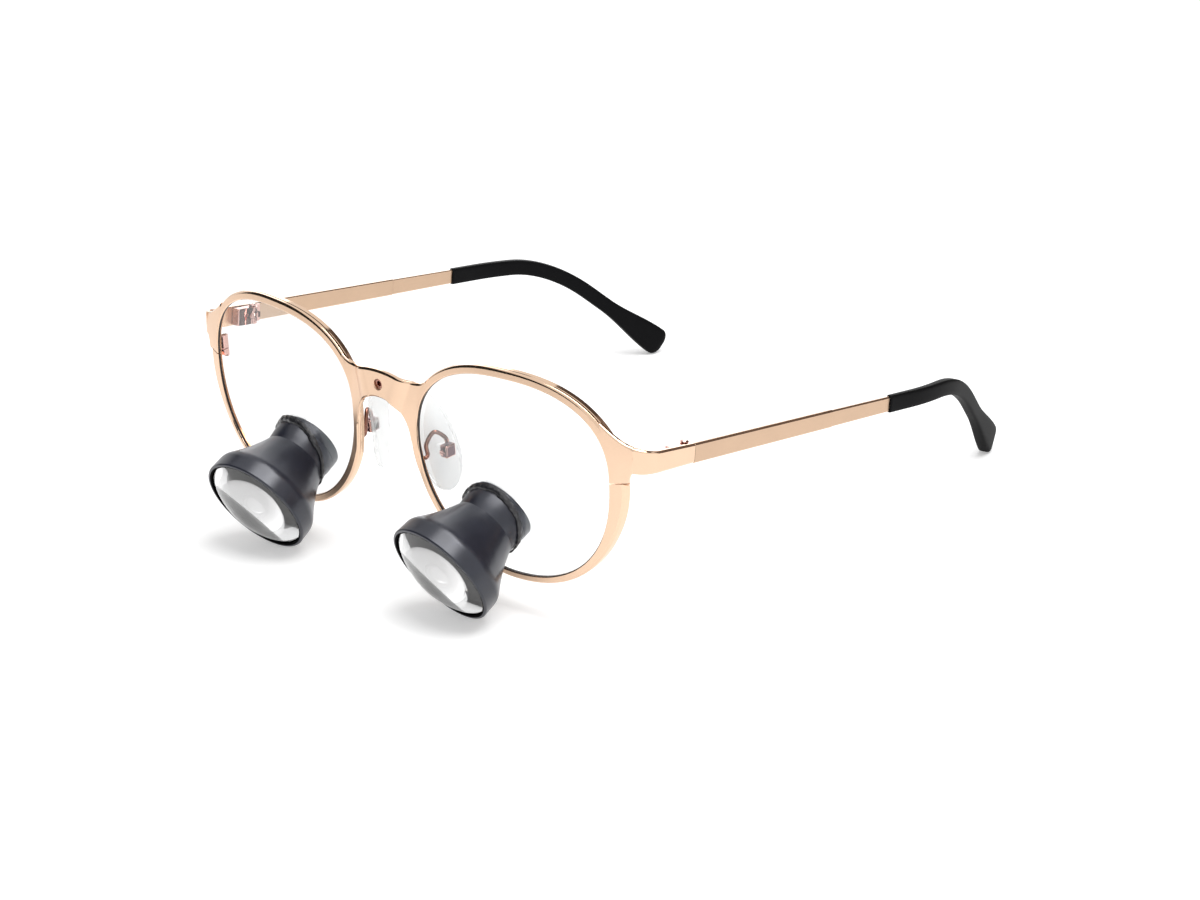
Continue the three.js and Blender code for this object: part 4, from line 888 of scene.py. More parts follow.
class LOUPES_OT_front(bpy.types.Operator):
    """Models the front plate, cut from one sheet, and the screw in its bridge"""

    bl_idname = "loupes.front"
    bl_label = "Front Plate"

    def execute(self, context):
        front = FrontShape()
        self.front = front
        self.bridge_middle = (front.bridge_top + front.arch_crest) / 2
        inset = 0.4
        half = join(self.rim(), cut(self.end_piece(), front.opening_tool(inset)))
        cut(half, front.slit_tool())
        tool = front.opening_tool(inset)
        other_tool = mirrored(tool)
        bridge = cut(cut(self.bridge(), tool), other_tool)
        # The bridge comes first, because the solver then keeps both halves
        plate = join(join(bridge, mirrored(half)), half)
        middle = self.bridge_middle
        place = Matrix.Translation((0, self.bridge_depth(0, middle), middle))
        seat = place @ Matrix.Rotation(-math.pi / 2, 4, "X")
        wide = front.screw_hole
        sunk = 0.12
        profile = [(0, -2), (wide + sunk, -2), (wide + sunk, 0), (wide, sunk), (wide, 3), (0, 3)]
        hole = turned("hole", profile, 48)
        hole.data.transform(seat)
        cut(plate, finished(hole, "front_satin", "polished_rose"))
        smooth(plate, 32)
        stand_in(set_in_place(plate, front.matrix), ["front_plate"], "front")
        stand_in(set_in_place(self.screw(seat), front.matrix), ["bridge_screw"], "front")
        return {"FINISHED"}

    def rim(self):
        front = self.front
        e = front.edge
        t = front.sheet
        b = 0.12

        def section(turn):
            w = front.rim_face(turn)
            near = self.broken(0.6 * e)
            far = [(w - out, back) for out, back in reversed(self.broken(e))]
            return [*near, (w * 0.5, 0), *far, (w, t - b), (w - b, t), (b, t), (0, t - b)]

        polished = (1, 2, 3, 8, 9, 10, 11, 12, 13)
        # Spans 0, 15 and 16, on the opening's inner wall, take the painted groove shade.
        rim = skin("rim", front.ring(section), True, polished, (0, 15, 16))
        return finished(rim, "front_satin", "polished_rose", "dark_groove")

    def broken(self, e):
        """Broken edge as [inset, depth] points, from the wall to the face."""
        return [(0, 1.4 * e), (0, 1.2 * e), (0.07 * e, e), (e, 0.07 * e), (1.2 * e, 0), (1.4 * e, 0)]

    def strip(self, line, inward):
        """Section of the sheet: a line up its outer face, with its edges broken."""
        bottom, top, between = line[0], line[-1], line[1:-1]
        up = (top - bottom).normalized()
        sink = inward.normalized()
        back = inward.normalized() * self.front.sheet
        breaks = self.broken(self.front.edge)
        low = [bottom + up * inset + sink * deep for inset, deep in breaks]
        high = [top - up * inset + sink * deep for inset, deep in reversed(breaks)]
        behind = [p + back for p in reversed(between)]
        return [*low, *between, *high, top + back, *behind, bottom + back]

    def polished_edges(self, between):
        """Spans of a strip's section that lie on its broken edges and its upper and lower walls."""
        high = 6 + between
        return (0, 1, 2, 3, *range(high + 1, high + 6), 2 * between + 13)

    def end_piece(self):
        """Leaves the rim above its slit, narrows, bends back and runs to the hinge seam."""
        front = self.front
        pin = Vector(LEFT_FOLD["pos_m"]) / MM
        seam = front.inside((pin.x, 0, 0))
        slope = math.tan(front.tilt)

        def rise(w):
            return seam.z + (seam.y - w) * slope

        start_rise = rise(front.depth(front.end_outside, 0))
        turn = 0
        for _ in range(8):
            x = front.end_outside - front.end_bend * (1 - math.sin(turn))
            turn = math.asin((x - front.face_vertex) / math.sqrt(front.face_radius ** 2 - start_rise ** 2))
        bend_x = front.end_outside - front.end_bend
        start_x = bend_x + front.end_bend * math.sin(turn)
        start_rise = rise(front.depth(start_x, 0))
        bend_y = front.depth(start_x, start_rise) + front.end_bend * math.cos(turn)
        root_x = front.opening_centre + front.temporal - front.end_root
        half = front.end_height / 2
        shares = [i / 7 for i in range(8)]
        rings = []
        reach = start_x - root_x
        corner = front.end_corner
        ahead = [mix(corner, reach, 1 - i / 40) for i in range(40)]
        ahead += [corner * math.sin(math.pi / 2 * (1 - i / 16)) for i in range(16)]
        for to_bend in ahead:
            x = start_x - to_bend
            top = start_rise + half + front.end_flare * (to_bend / reach) ** 1.4
            turned_in = min(1, to_bend / corner)
            bottom = mix(start_rise - half, front.slit_rise, 1 - math.sqrt(1 - turned_in ** 2))
            lean = math.asin((x - front.face_vertex) / front.face_radius)
            inward = Vector((-math.sin(lean), math.cos(lean), 0))
            proud = -0.012 * ease(to_bend, 0.5, 2)
            line = [front.on_face(x, mix(bottom, top, s), proud) for s in shares]
            rings.append(self.strip(line, inward))
        for i in range(33):
            share = i / 32
            bend = mix(turn, math.pi / 2, share)
            w = bend_y - front.end_bend * math.cos(bend)
            middle = Vector((bend_x + front.end_bend * math.sin(bend), w, rise(w)))
            height = mix(front.end_height, front.end_rear_height, ease(share, 0, 1))
            up = Vector((0, math.sin(front.tilt) * share, math.cos(front.tilt))).normalized() * height / 2
            inward = Vector((-math.sin(bend), math.cos(bend), 0))
            rings.append(self.strip([middle + up * (2 * s - 1) for s in shares], inward))
        last_low, last_high = middle - up, middle + up
        seam_at, seam_half = 1.11, 2.25
        for i in range(1, 7):
            low = last_low.lerp(front.inside((front.end_outside, seam_at, -seam_half)), i / 6)
            high = last_high.lerp(front.inside((front.end_outside, seam_at, seam_half)), i / 6)
            rings.append(self.strip([low.lerp(high, s) for s in shares], Vector((-1, 0, 0))))
        piece = skin("end_piece", rings, False, self.polished_edges(6))
        return finished(piece, "front_satin", "polished_rose")

    def crease(self, v):
        front = self.front
        return front.bridge_span - front.crease_lean * (front.bridge_top - front.bridge_dip - v)

    def bridge_depth(self, x, v):
        """Depth of the bridge's face: a flat middle set forward, with curved flanks back to the dome."""
        front = self.front
        middle = self.bridge_middle
        share = min(1, max(0, (abs(x) - self.crease(v)) / front.bridge_flank + 1))
        flat = front.depth(front.bridge_span, middle) + (v - middle) * middle / front.face_radius
        return mix(flat, front.depth(x, v), share) - front.bridge_bow * (1 - share ** 1.6) - 0.012

    def bridge_top(self, across):
        front = self.front
        radius = front.bridge_fillet
        start = min(across, front.fillet_from)
        height = front.bridge_top - front.bridge_dip * (start / front.bridge_span) ** 2
        if across <= start:
            return height
        fall = math.atan(2 * front.bridge_dip * start / front.bridge_span ** 2)
        past = across - start - radius * math.sin(fall)
        return height + radius * math.cos(fall) - math.sqrt(radius ** 2 - past ** 2)

    def nose_arch(self, across):
        front = self.front
        share = min(1, across / front.arch_width)
        return front.arch_crest * (1 - share ** front.arch_power) ** (1 / front.arch_power)

    def bridge(self):
        """One sheet from rim to rim; its sections lean with the creases."""
        front = self.front
        inner = [i / 28 for i in range(29)]
        outer = [i / 14 for i in range(1, 15)]
        rings = []
        stations = [-1 - o for o in reversed(outer)] + [-i for i in reversed(inner[1:])]
        stations += inner + [1 + o for o in outer]
        for share in stations:
            sign = math.copysign(1, share)
            away = abs(share)

            def side(v):
                crease = self.crease(v)
                return crease * away if away <= 1 else mix(crease, front.bridge_reach, away - 1)

            low = self.edge_height(lambda v: self.nose_arch(side(v)))
            high = self.edge_height(lambda v: self.bridge_top(side(v)))
            heights = [mix(low, high, j / 9) for j in range(10)]
            line = [Vector((sign * side(v), self.bridge_depth(side(v), v), v)) for v in heights]
            rings.append(self.strip(line, Vector((0, 1, 0))))
        bridge = skin("bridge", rings, False, self.polished_edges(8))
        return finished(bridge, "front_satin", "polished_rose", "dark_groove")

    def edge_height(self, edge):
        """Height at which a leaning section meets an edge of the bridge."""
        low, high = -1, 20
        for _ in range(40):
            middle = (low + high) / 2
            if edge(middle) > middle:
                low = middle
            else:
                high = middle
        return low

    def screw(self, seat):
        """Sunk screw with a hexagon socket."""
        wide = self.front.screw_hole - 0.1
        socket = 0.72
        screw = turned("screw", [(0, 2.1), (wide, 2.1), (wide, 0.6), (wide - 0.15, 0.45), (0, 0.45)], 40)
        cut(screw, turned("socket", [(0, -1), (socket, -1), (socket, 1.4), (0, 1.4)], 6))
        screw.data.transform(seat)
        # Painted shade: the screw takes the darkened rose gold.
        return smooth(finished(screw, "screw_rose"), 30)


class LOUPES_OT_eyewires(bpy.types.Operator):
    """Models the grooved eyewires with their closing blocks and screws"""

    bl_idname = "loupes.eyewires"
    bl_label = "Eyewires"

    def execute(self, context):
        front = FrontShape()
        inner = front.groove
        near = front.wire_front
        far = near + front.wire_shown
        wall = near + front.wire_wall
        middle = (near + far) / 2
        e = 0.1
        groove_half = 0.22
        groove_deep = 0.3

        def section(turn):
            outer = front.rim_face(turn) - 0.05
            outside = [(outer - e, near), (outer, near + e), (outer, wall - e), (outer - e, wall)]
            inside = [(inner + e, far), (inner, far - e), (inner, middle + groove_half)]
            inside += [(inner + groove_deep, middle), (inner, middle - groove_half)]
            return [(inner, near), *outside, *inside]

        wire = finished(skin("wire", front.ring(section), True), "polished_rose")
        smooth(cut(wire, front.slit_tool()), 32)
        stand_in_pair(set_in_place(wire, front.matrix), "eyewire")
        self.closing(front)
        return {"FINISHED"}

    def closing(self, front):
        """Two barrels on the faces of the slit and the screw that draws them together."""
        wide = 0.7
        reach = 1.3
        upper = 3.2
        lower = 1.4
        x = front.opening_centre + front.temporal + front.groove + 0.1 + wide
        face = front.depth(x + wide, front.slit_rise + upper)
        y = face + front.wire_front + front.wire_shown + 0.05 + reach
        half_slit = front.slit_width / 2
        for node, base, height in (("upper", half_slit, upper), ("lower", -half_slit - lower, lower)):
            low = front.slit_rise + base
            barrel = upright_round("barrel", (x, y), wide, low, low + height)
            join(barrel, block("flat", (x - wide, y - reach, low), (x + wide, y, low + height)))
            finished(break_edges(barrel, 0.1, 3), "polished_pink")
            stand_in_pair(set_in_place(smooth(barrel), front.matrix), f"closing_block_{node}")
        foot = front.slit_rise - half_slit - lower - 0.1
        top = front.slit_rise + half_slit + upper - wide
        profile = [(0, foot - 0.5), (0.5, foot - 0.5), (0.65, foot - 0.35), (0.65, foot), (0.38, foot),
                   (0.38, top), (0, top)]
        screw = turned("screw", profile, 32)
        cut(screw, block("slot", (-1, -0.1, foot - 1), (1, 0.1, foot - 0.25)))
        screw.data.transform(Matrix.Translation((x, y, 0)))
        smooth(finished(screw, "polished_pink"))
        stand_in_pair(set_in_place(screw, front.matrix), "closing_screw")


class TelescopeShape(Sizes):
    """A telescope's axis and outline, with its own Z running back to the eye from the front rim."""

    def __init__(self, front):
        super().__init__(bpy.context.scene.loupes_telescopes)
        self.front = front
        turn = Matrix.Rotation(-self.turn_in, 4, "Z") @ Matrix.Rotation(self.drop, 4, "X")
        axis = turn @ Vector((0, 1, 0))
        lens_front = front.wire_front + front.wire_depth / 2 - front.lens_thickness / 2
        self.crossing = lens_front
        place = front.on_face(self.side, self.rise, lens_front) - axis * self.rim_to_lens
        self.in_front = Matrix.Translation(place) @ turn @ Matrix.Rotation(-math.pi / 2, 4, "X")
        self.matrix = front.matrix @ self.in_front
        self.objective_back = self.recess + CROWN + BEDDING + FLINT
        self.eye_radius = self.collar - HOUSING_WALL - SLIDE_FIT - CELL_WALL - SLIDE_FIT
        self.spigot_length = 3

    def radius(self, s):
        if s <= self.ridge_at:
            return mix(self.bell, self.ridge, s / self.ridge_at)
        if s <= self.neck_at:
            share = (s - self.ridge_at) / (self.neck_at - self.ridge_at)
            return mix(self.ridge, self.neck, share) - self.hollow * 4 * share * (1 - share)
        return mix(self.neck, self.collar, min(1, (s - self.neck_at) / (self.collar_at - self.neck_at)))

    def meets_lens(self, radius, turn):
        """Distance behind the front rim at which a line beside the axis meets the lens."""
        s = self.rim_to_lens
        for _ in range(6):
            p = self.in_front @ Vector((radius * math.cos(turn), radius * math.sin(turn), s))
            s += self.front.depth(p.x, p.z) + self.crossing - p.y
        return s

    def cone(self, count):
        return [mix(self.ridge_at, self.neck_at, i / count) for i in range(count + 1)]


class LOUPES_OT_lenses(bpy.types.Operator):
    """Models the carrier lenses, each bored for its telescope"""

    bl_idname = "loupes.lenses"
    bl_label = "Carrier Lenses"

    def execute(self, context):
        front = FrontShape()
        telescope = TelescopeShape(front)
        edge = front.groove - 0.08
        half = front.lens_thickness / 2 - 0.12
        bevel = (front.wire_shown - front.wire_depth) / 2
        middle = front.wire_front + front.wire_depth / 2
        heart = Vector((front.opening_centre, front.opening_rise - (front.lower - front.upper) / 2))
        scales = (0.02, 0.2, 0.4, 0.6, 0.8, 0.93)
        bevel_half = 0.18
        bevel_high = 0.28
        layout = [(s, edge, -half) for s in (*scales, 1)]
        layout += [(1, edge, bevel - bevel_half), (1, edge + bevel_high, bevel)]
        layout += [(1, edge, bevel + bevel_half)]
        layout += [(s, edge, half) for s in (1, *reversed(scales))]
        rings = []
        for scale, out, back in layout:
            loop = [front.offset(t, out) for t in front.turns(LENS_STATIONS)]
            loop = [heart + (p - heart) * scale for p in loop]
            rings.append([front.on_face(p.x, p.y, middle + back) for p in loop])
        lens = finished(skin("lens", rings), "clear_lens", "lens_edge")
        ground = range(len(scales), len(scales) + 4)
        for face in lens.data.polygons:
            first = min(face.vertices) // LENS_STATIONS
            face.material_index = int(len(face.vertices) == 4 and first in ground)
        end = telescope.housing + telescope.eyepiece + SLIDE_FIT + 0.2
        places = [0, *telescope.cone(12), telescope.collar_at, end]
        outline = [(0, 0), *((telescope.radius(s) + SLIDE_FIT, s) for s in places), (0, end)]
        bore = turned("bore", outline, 72)
        bore.data.transform(telescope.in_front)
        cut(lens, finished(bore, "lens_edge"))
        smooth(lens, 30)
        stand_in_pair(set_in_place(lens, front.matrix), "lens")
        return {"FINISHED"}


class LOUPES_OT_telescopes(bpy.types.Operator):
    """Models the turned telescope bodies with their rings and eyepiece cells"""

    bl_idname = "loupes.telescopes"
    bl_label = "Telescope Bodies"
    ease_from = 3.6
    ease_to = 5.6

    def execute(self, context):
        scope = TelescopeShape(FrontShape())
        self.scope = scope
        wall = HOUSING_WALL
        bore = scope.glass + SLIDE_FIT
        seat = scope.objective_back + BEDDING
        eye_bore = scope.collar - wall
        cone = scope.cone(20)
        outside = [(bore, 0), (scope.bell - 0.4, 0), (scope.bell - 0.12, 0.12), (scope.bell, 0.4)]
        outside += [(scope.radius(s), s) for s in (1.5, 2.6, 3.2, 3.5)]
        eased = [mix(self.ease_from, self.ease_to, i / 14) for i in range(15)]
        outside += [(self.rounded(s), s) for s in eased]
        outside += [(scope.radius(s), s) for s in cone if s > self.ease_to + 0.2]
        outside += [(scope.radius(16.6), 16.6), (scope.collar, scope.collar_at)]
        outside += [(scope.collar, scope.housing)]
        step = scope.housing - scope.spigot_length - SLIDE_FIT
        inside = [(eye_bore, scope.housing), (eye_bore, step), (scope.neck - wall, scope.neck_at)]
        inside += [(scope.radius(s) - wall, s) for s in reversed(cone) if seat < s < scope.neck_at]
        inside += [(scope.radius(seat) - wall, seat), (bore, seat), (bore, 0)]
        housing = turned("housing", outside + inside, 128)
        finished(housing, "charcoal_anodised", "inner_black")
        for face in housing.data.polygons:
            middle = face.center
            within = math.hypot(middle.x, middle.y) < scope.radius(middle.z) - 0.3
            face.material_index = int(within and middle.z > 0.05)
        self.show(housing, "telescope_housing", "charcoal_aluminium")
        self.ring()
        self.cell(eye_bore)
        return {"FINISHED"}

    def rounded(self, s):
        """Outline near the ridge, eased from the band into the cone."""
        scope = self.scope
        before, after = self.ease_from, self.ease_to
        slope_before = (scope.radius(before) - scope.radius(before - 0.1)) / 0.1
        slope_after = (scope.radius(after + 0.1) - scope.radius(after)) / 0.1
        share = (s - before) / (after - before)
        span = after - before
        square = share * share
        cube = square * share
        start = (2 * cube - 3 * square + 1) * scope.radius(before)
        leaving = (cube - 2 * square + share) * span * slope_before
        end = (3 * square - 2 * cube) * scope.radius(after)
        return start + leaving + end + (cube - square) * span * slope_after

    def show(self, piece, node, slot):
        lathe_marks(piece)
        smooth(piece, 22)
        stand_in_pair(set_in_place(piece, self.scope.matrix), node)

    def ring(self):
        scope = self.scope
        back = scope.recess - BEDDING
        inner = 12.45
        dome = scope.sag * (1 - (inner / scope.glass) ** 2)
        profile = [(inner, 0.18), (inner + 0.08, 0.1), (scope.glass - 0.05, 0.1), (scope.glass, 0.15),
                   (scope.glass, back), (inner, back - dome), (inner, 0.18)]
        ring = finished(turned("ring", profile, 128), "inner_black")
        self.show(ring, "objective_ring", "charcoal_aluminium")

    def cell(self, eye_bore):
        scope = self.scope
        collar = scope.collar
        front = scope.housing + SLIDE_FIT
        back = front + scope.eyepiece
        spigot = eye_bore - SLIDE_FIT
        lens = scope.eye_radius
        bore = lens + SLIDE_FIT
        stop = bore - CELL_WALL
        seat = back - EYE_RING
        shoulder = seat - BEDDING - EYE_LENS - BEDDING
        start = scope.housing - scope.spigot_length
        profile = [(stop, start), (spigot, start), (spigot, front), (collar, front), (collar, back - 0.4),
                   (collar - 0.12, back - 0.12), (collar - 0.4, back), (bore, back), (bore, shoulder),
                   (stop, shoulder), (stop, start)]
        cell = finished(turned("cell", profile, 96), "charcoal_anodised")
        self.show(cell, "eyepiece_cell", "charcoal_aluminium")
        inner = lens - CELL_WALL
        profile = [(inner, seat), (lens, seat), (lens, back - 0.05), (lens - 0.05, back),
                   (lens - 0.4, back), (inner, seat)]
        ring = finished(turned("ring", profile, 96), "inner_black")
        self.show(ring, "eyepiece_ring", "charcoal_aluminium")


class LOUPES_OT_optics(bpy.types.Operator):
    """Models the objective and eye lenses as solid glass"""

    bl_idname = "loupes.optics"
    bl_label = "Optics"

    def execute(self, context):
        self.scope = TelescopeShape(FrontShape())
        scope = self.scope
        radius = scope.glass
        doublet = self.dome(radius, scope.recess, scope.sag, 40)
        doublet += self.dome(radius, scope.objective_back, -1.7, 16)[::-1]
        self.show(doublet, "objective_crown", "objective_flint")
        radius = scope.eye_radius
        rear = scope.housing + SLIDE_FIT + scope.eyepiece - EYE_RING - BEDDING
        eye = self.dome(radius, rear - EYE_LENS, -0.5, 16) + self.dome(radius, rear, 0.5, 16)[::-1]
        self.show(eye, "eyepiece_lens")
        return {"FINISHED"}

    def dome(self, radius, edge, sag, steps):
        """Profile of a lens face from the axis to its edge; the sag is toward the front."""
        reach = [radius * i / steps for i in range(steps + 1)]
        return [(r, edge - sag * (1 - (r / radius) ** 2)) for r in reach]

    def show(self, profile, *nodes):
        """One solid of glass; cemented lenses stand for all their nodes."""
        glass = finished(turned("glass", profile, 128), "coated_glass", "inner_black")
        widest = max(r for r, _ in profile) - 0.01
        for face in glass.data.polygons:
            reach = [math.hypot(*glass.data.vertices[i].co.xy) for i in face.vertices]
            face.material_index = int(min(reach) > widest)
        smooth(glass, 30)
        stand_in_pair(set_in_place(glass, self.scope.matrix), nodes)


class LOUPES_OT_beads(bpy.types.Operator):
    """Models the uneven bead of adhesive where each telescope leaves its lens"""

    bl_idname = "loupes.beads"
    bl_label = "Adhesive Beads"

    def execute(self, context):
        scope = TelescopeShape(FrontShape())
        usual_width = 0.56
        usual_height = 0.85
        rings = []
        for i in range(180):
            turn = i * WHOLE_TURN / 180
            radius = scope.collar
            for _ in range(6):
                seat = scope.meets_lens(radius, turn) - BEDDING
                radius = scope.radius(seat) + SLIDE_FIT
            lumps = 0.4 * math.sin(5 * turn + 0.7) + 0.3 * math.sin(13 * turn + 2.1)
            lumps += 0.3 * math.sin(29 * turn)
            width = usual_width - 0.18 * math.sin(turn) + 0.13 * lumps
            outer = radius + width
            outer_seat = scope.meets_lens(outer, turn) - BEDDING
            high = seat - usual_height * (width / usual_width) * (1 + 0.12 * math.sin(7 * turn))
            top = scope.radius(high) + SLIDE_FIT
            profile = [(radius, seat), (mix(radius, top, 0.5), mix(seat, high, 0.5)), (top, high)]
            for k in range(1, 8):
                share = k / 8
                swell = 0.30 * math.sin(math.pi * share) * (1 + 0.3 * lumps)
                out = mix(top, outer, share) + 0.55 * swell
                profile.append((out, mix(high, outer_seat, share) - swell * 0.8))
            profile.append((outer, outer_seat))
            rings.append([Vector((r * math.cos(turn), r * math.sin(turn), s)) for r, s in profile])
        bead = finished(skin("bead", rings, True), "cured_bead")
        smooth(bead, 50)
        stand_in_pair(set_in_place(bead, scope.matrix), "adhesive_bead")
        return {"FINISHED"}


class TempleShape(Sizes):
    """A temple's mid-line as worn: straight, then turned inward, then down behind the ear."""

    def __init__(self):
        super().__init__(bpy.context.scene.loupes_temples)
        self.line = [self.at(mix(self.seam, self.tip_end, i / 2000)) for i in range(2001)]
        self.reached = [0]
        for p, q in zip(self.line, self.line[1:]):
            self.reached.append(self.reached[-1] + (q - p).length)

    def at(self, y):
        side = self.outside - self.thickness / 2
        inward = self.turn_into(y - self.inward_bend) * math.tan(self.inward_angle)
        down = self.turn_into(y - self.ear_bend) * math.tan(self.drop_angle)
        return Vector((side - inward, y, -down))

    def turn_into(self, distance):
        """Straight line that turns gently into a slope of one."""
        reach = self.bend_reach
        if distance <= -reach:
            return 0
        return distance if distance >= reach else (distance + reach) ** 2 / (4 * reach)

    def across(self, distance, outline):
        """Places a section's [thickness, height] points square to the line."""
        goal = min(max(distance, 0), self.reached[-1])
        k = min(len(self.line) - 2, bisect.bisect_right(self.reached, goal) - 1)
        share = (goal - self.reached[k]) / (self.reached[k + 1] - self.reached[k])
        along = (self.line[k + 1] - self.line[k]).normalized()
        middle = self.line[k].lerp(self.line[k + 1], share)
        side = along.cross(Vector((0, 0, 1))).normalized()
        up = side.cross(along)
        return [middle + side * t + up * h for t, h in outline]


class LOUPES_OT_hinges(bpy.types.Operator):
    """Models the hinge leaves, their knuckles and the slotted hinge screws"""

    bl_idname = "loupes.hinges"
    bl_label = "Hinges"

    def execute(self, context):
        temple = TempleShape()
        side = LEFT_FOLD["pos_m"][0] / MM
        outside = temple.outside - 1.1
        inside = outside - 2.1
        half = 2.1
        slot = 0.74
        knuckle = 1.25
        tongue = 0.65
        leaf = block("leaf", (inside, -5.3, -half), (outside, -2.6, half))
        for low, high in ((slot, half), (-half, -slot)):
            join(leaf, block("web", (side - 1, -2.7, low), (outside, 0, high)))
            join(leaf, upright_round("knuckle", (side, 0), knuckle, low, high))
        self.show(leaf, side, "hinge_front_leaf", "front")
        leaf = block("leaf", (outside - 0.7, 1.4, -half), (outside, 3, half))
        join(leaf, block("web", (side - 1, 0, -tongue), (side + 1, 1.8, tongue)))
        join(leaf, upright_round("knuckle", (side, 0), knuckle, -tongue, tongue))
        self.show(leaf, side, "hinge_temple_leaf", "arm")
        seat = half + 0.1
        pin = 0.5
        head = 0.95
        profile = [(0, -half), (pin, -half), (pin, seat), (0.85, seat), (head, seat + 0.1),
                   (head, seat + 0.3), (0.67, seat + 0.5), (0, seat + 0.5)]
        screw = turned("screw", profile, 32)
        arm = block("slot", (-1.2, -0.13, seat + 0.22), (1.2, 0.13, seat + 1))
        arm.data.transform(Matrix.Rotation(math.radians(35), 4, "Z"))
        cut(screw, arm)
        screw.data.transform(Matrix.Translation((side, 0, 0)))
        smooth(finished(screw, "polished_pink"))
        stand_in_pair(set_in_place(screw, worn_matrix()), "hinge_screw")
        return {"FINISHED"}

    def show(self, leaf, side, node, body):
        cut(leaf, upright_round("pin", (side, 0), 0.59, -3, 3))
        break_edges(leaf, 0.13, 2, 40)
        smooth(finished(leaf, "polished_pink"), 35)
        stand_in_pair(set_in_place(leaf, worn_matrix()), node, body)


class LOUPES_OT_temples(bpy.types.Operator):
    """Models the stepped metal temples with their cores"""

    bl_idname = "loupes.temples"
    bl_label = "Temples"

    def execute(self, context):
        temple = TempleShape()
        step = temple.step - temple.seam
        tip = temple.tip_start - temple.seam - BEDDING
        thick = temple.thickness
        height = temple.height
        at_step = temple.step_height
        thin = temple.rear_thickness
        edge = 0.1
        strips = [(0, thick, height - 0.16), (0.08, thick, height)]
        strips += [(step * k / 12, thick, mix(height, at_step, k / 12)) for k in range(1, 12)]
        strips += [(step - edge, thick, at_step), (step, thick - edge, at_step - edge)]
        for k in range(7):
            lower = mix(temple.rear_height, temple.rear_height_at_tip, k / 6)
            strips.append((mix(step + edge, tip, k / 6), thin, lower))
        rings = [temple.across(at, self.bar(thickness, high)) for at, thickness, high in strips]
        core = self.bar(thin, 2.4)
        rings += [temple.across(mix(tip + edge, tip + CORE_REACH, k / 30), core) for k in range(31)]
        # The temple's satin carries the darker rose gold: painted shade.
        bar = finished(skin("temple", rings, False, (1, 3, 5, 7)), "temple_satin", "polished_rose")
        smooth(bar, 25)
        stand_in_pair(set_in_place(bar, worn_matrix()), "temple", "arm")
        return {"FINISHED"}

    def bar(self, thickness, height):
        """Flat bar with a wide break along its outer top edge."""
        t = thickness / 2
        h = height / 2
        b = 0.2 * thickness
        w = 0.42 * thickness
        outer_and_top = [(t, b - h), (t, h - w), (t - w, h), (b - t, h)]
        return [*outer_and_top, (-t, h - b), (-t, b - h), (b - t, -h), (t - b, -h)]


class LOUPES_OT_tips(bpy.types.Operator):
    """Models the rubber-coated temple tips"""

    bl_idname = "loupes.tips"
    bl_label = "Temple Tips"

    def execute(self, context):
        temple = TempleShape()
        start = temple.tip_start - temple.seam
        end = temple.reached[-1]
        round_end = 2.4
        lip_length = 0.35
        stations = [start, start + 0.05, start + 0.15, start + lip_length]
        stations += [mix(start + 0.8, end - round_end, i / 70) for i in range(71)]
        stations += [end - round_end * (1 - math.sin(i * math.pi / 40)) for i in range(1, 21)]
        rings = []
        for at in stations:
            to_end = end - at
            to_drop = ease(at, start, temple.ear_bend)
            flare = 1 - ease(to_end, round_end, temple.paddle_length)
            rounding = max(0, 1 - to_end / round_end)
            close = math.sqrt(1 - (0.97 * rounding) ** 2)
            lip = 1 - 0.14 * (1 - min(1, (at - start) / lip_length)) ** 2
            height = mix(temple.tip_height, temple.drop_height, to_drop)
            height = mix(height, temple.paddle_height, flare) * close * lip
            thickness = mix(temple.tip_thickness, temple.drop_thickness, to_drop)
            thickness = mix(thickness, temple.paddle_thickness, flare) * (mix(1, close, 0.7) * lip)
            rings.append(temple.across(at, self.outline(thickness, height)))
        sleeve = skin("sleeve", rings)
        socket = self.pocket_outline(temple)
        deep = start + CORE_REACH + BEDDING
        pocket = [temple.across(mix(start - 0.6, deep, k / 30), socket) for k in range(31)]
        cut(sleeve, skin("pocket", pocket))
        smooth(finished(sleeve, "rubber_black"), 40)
        stand_in_pair(set_in_place(sleeve, worn_matrix()), "tip", "arm")
        return {"FINISHED"}

    def outline(self, thickness, height):
        """Rounded oblong."""
        sides = 40
        power = 2 / 5
        points = []
        for i in range(sides):
            turn = (i + 0.5) * WHOLE_TURN / sides
            across = signed_power(math.cos(turn), power) * thickness / 2
            points.append((across, signed_power(math.sin(turn), power) * height / 2))
        return points

    def pocket_outline(self, temple):
        t = temple.rear_thickness / 2 + 0.1
        h = 1.3
        return [(t, -h), (t, h), (-t, h), (-t, -h)]


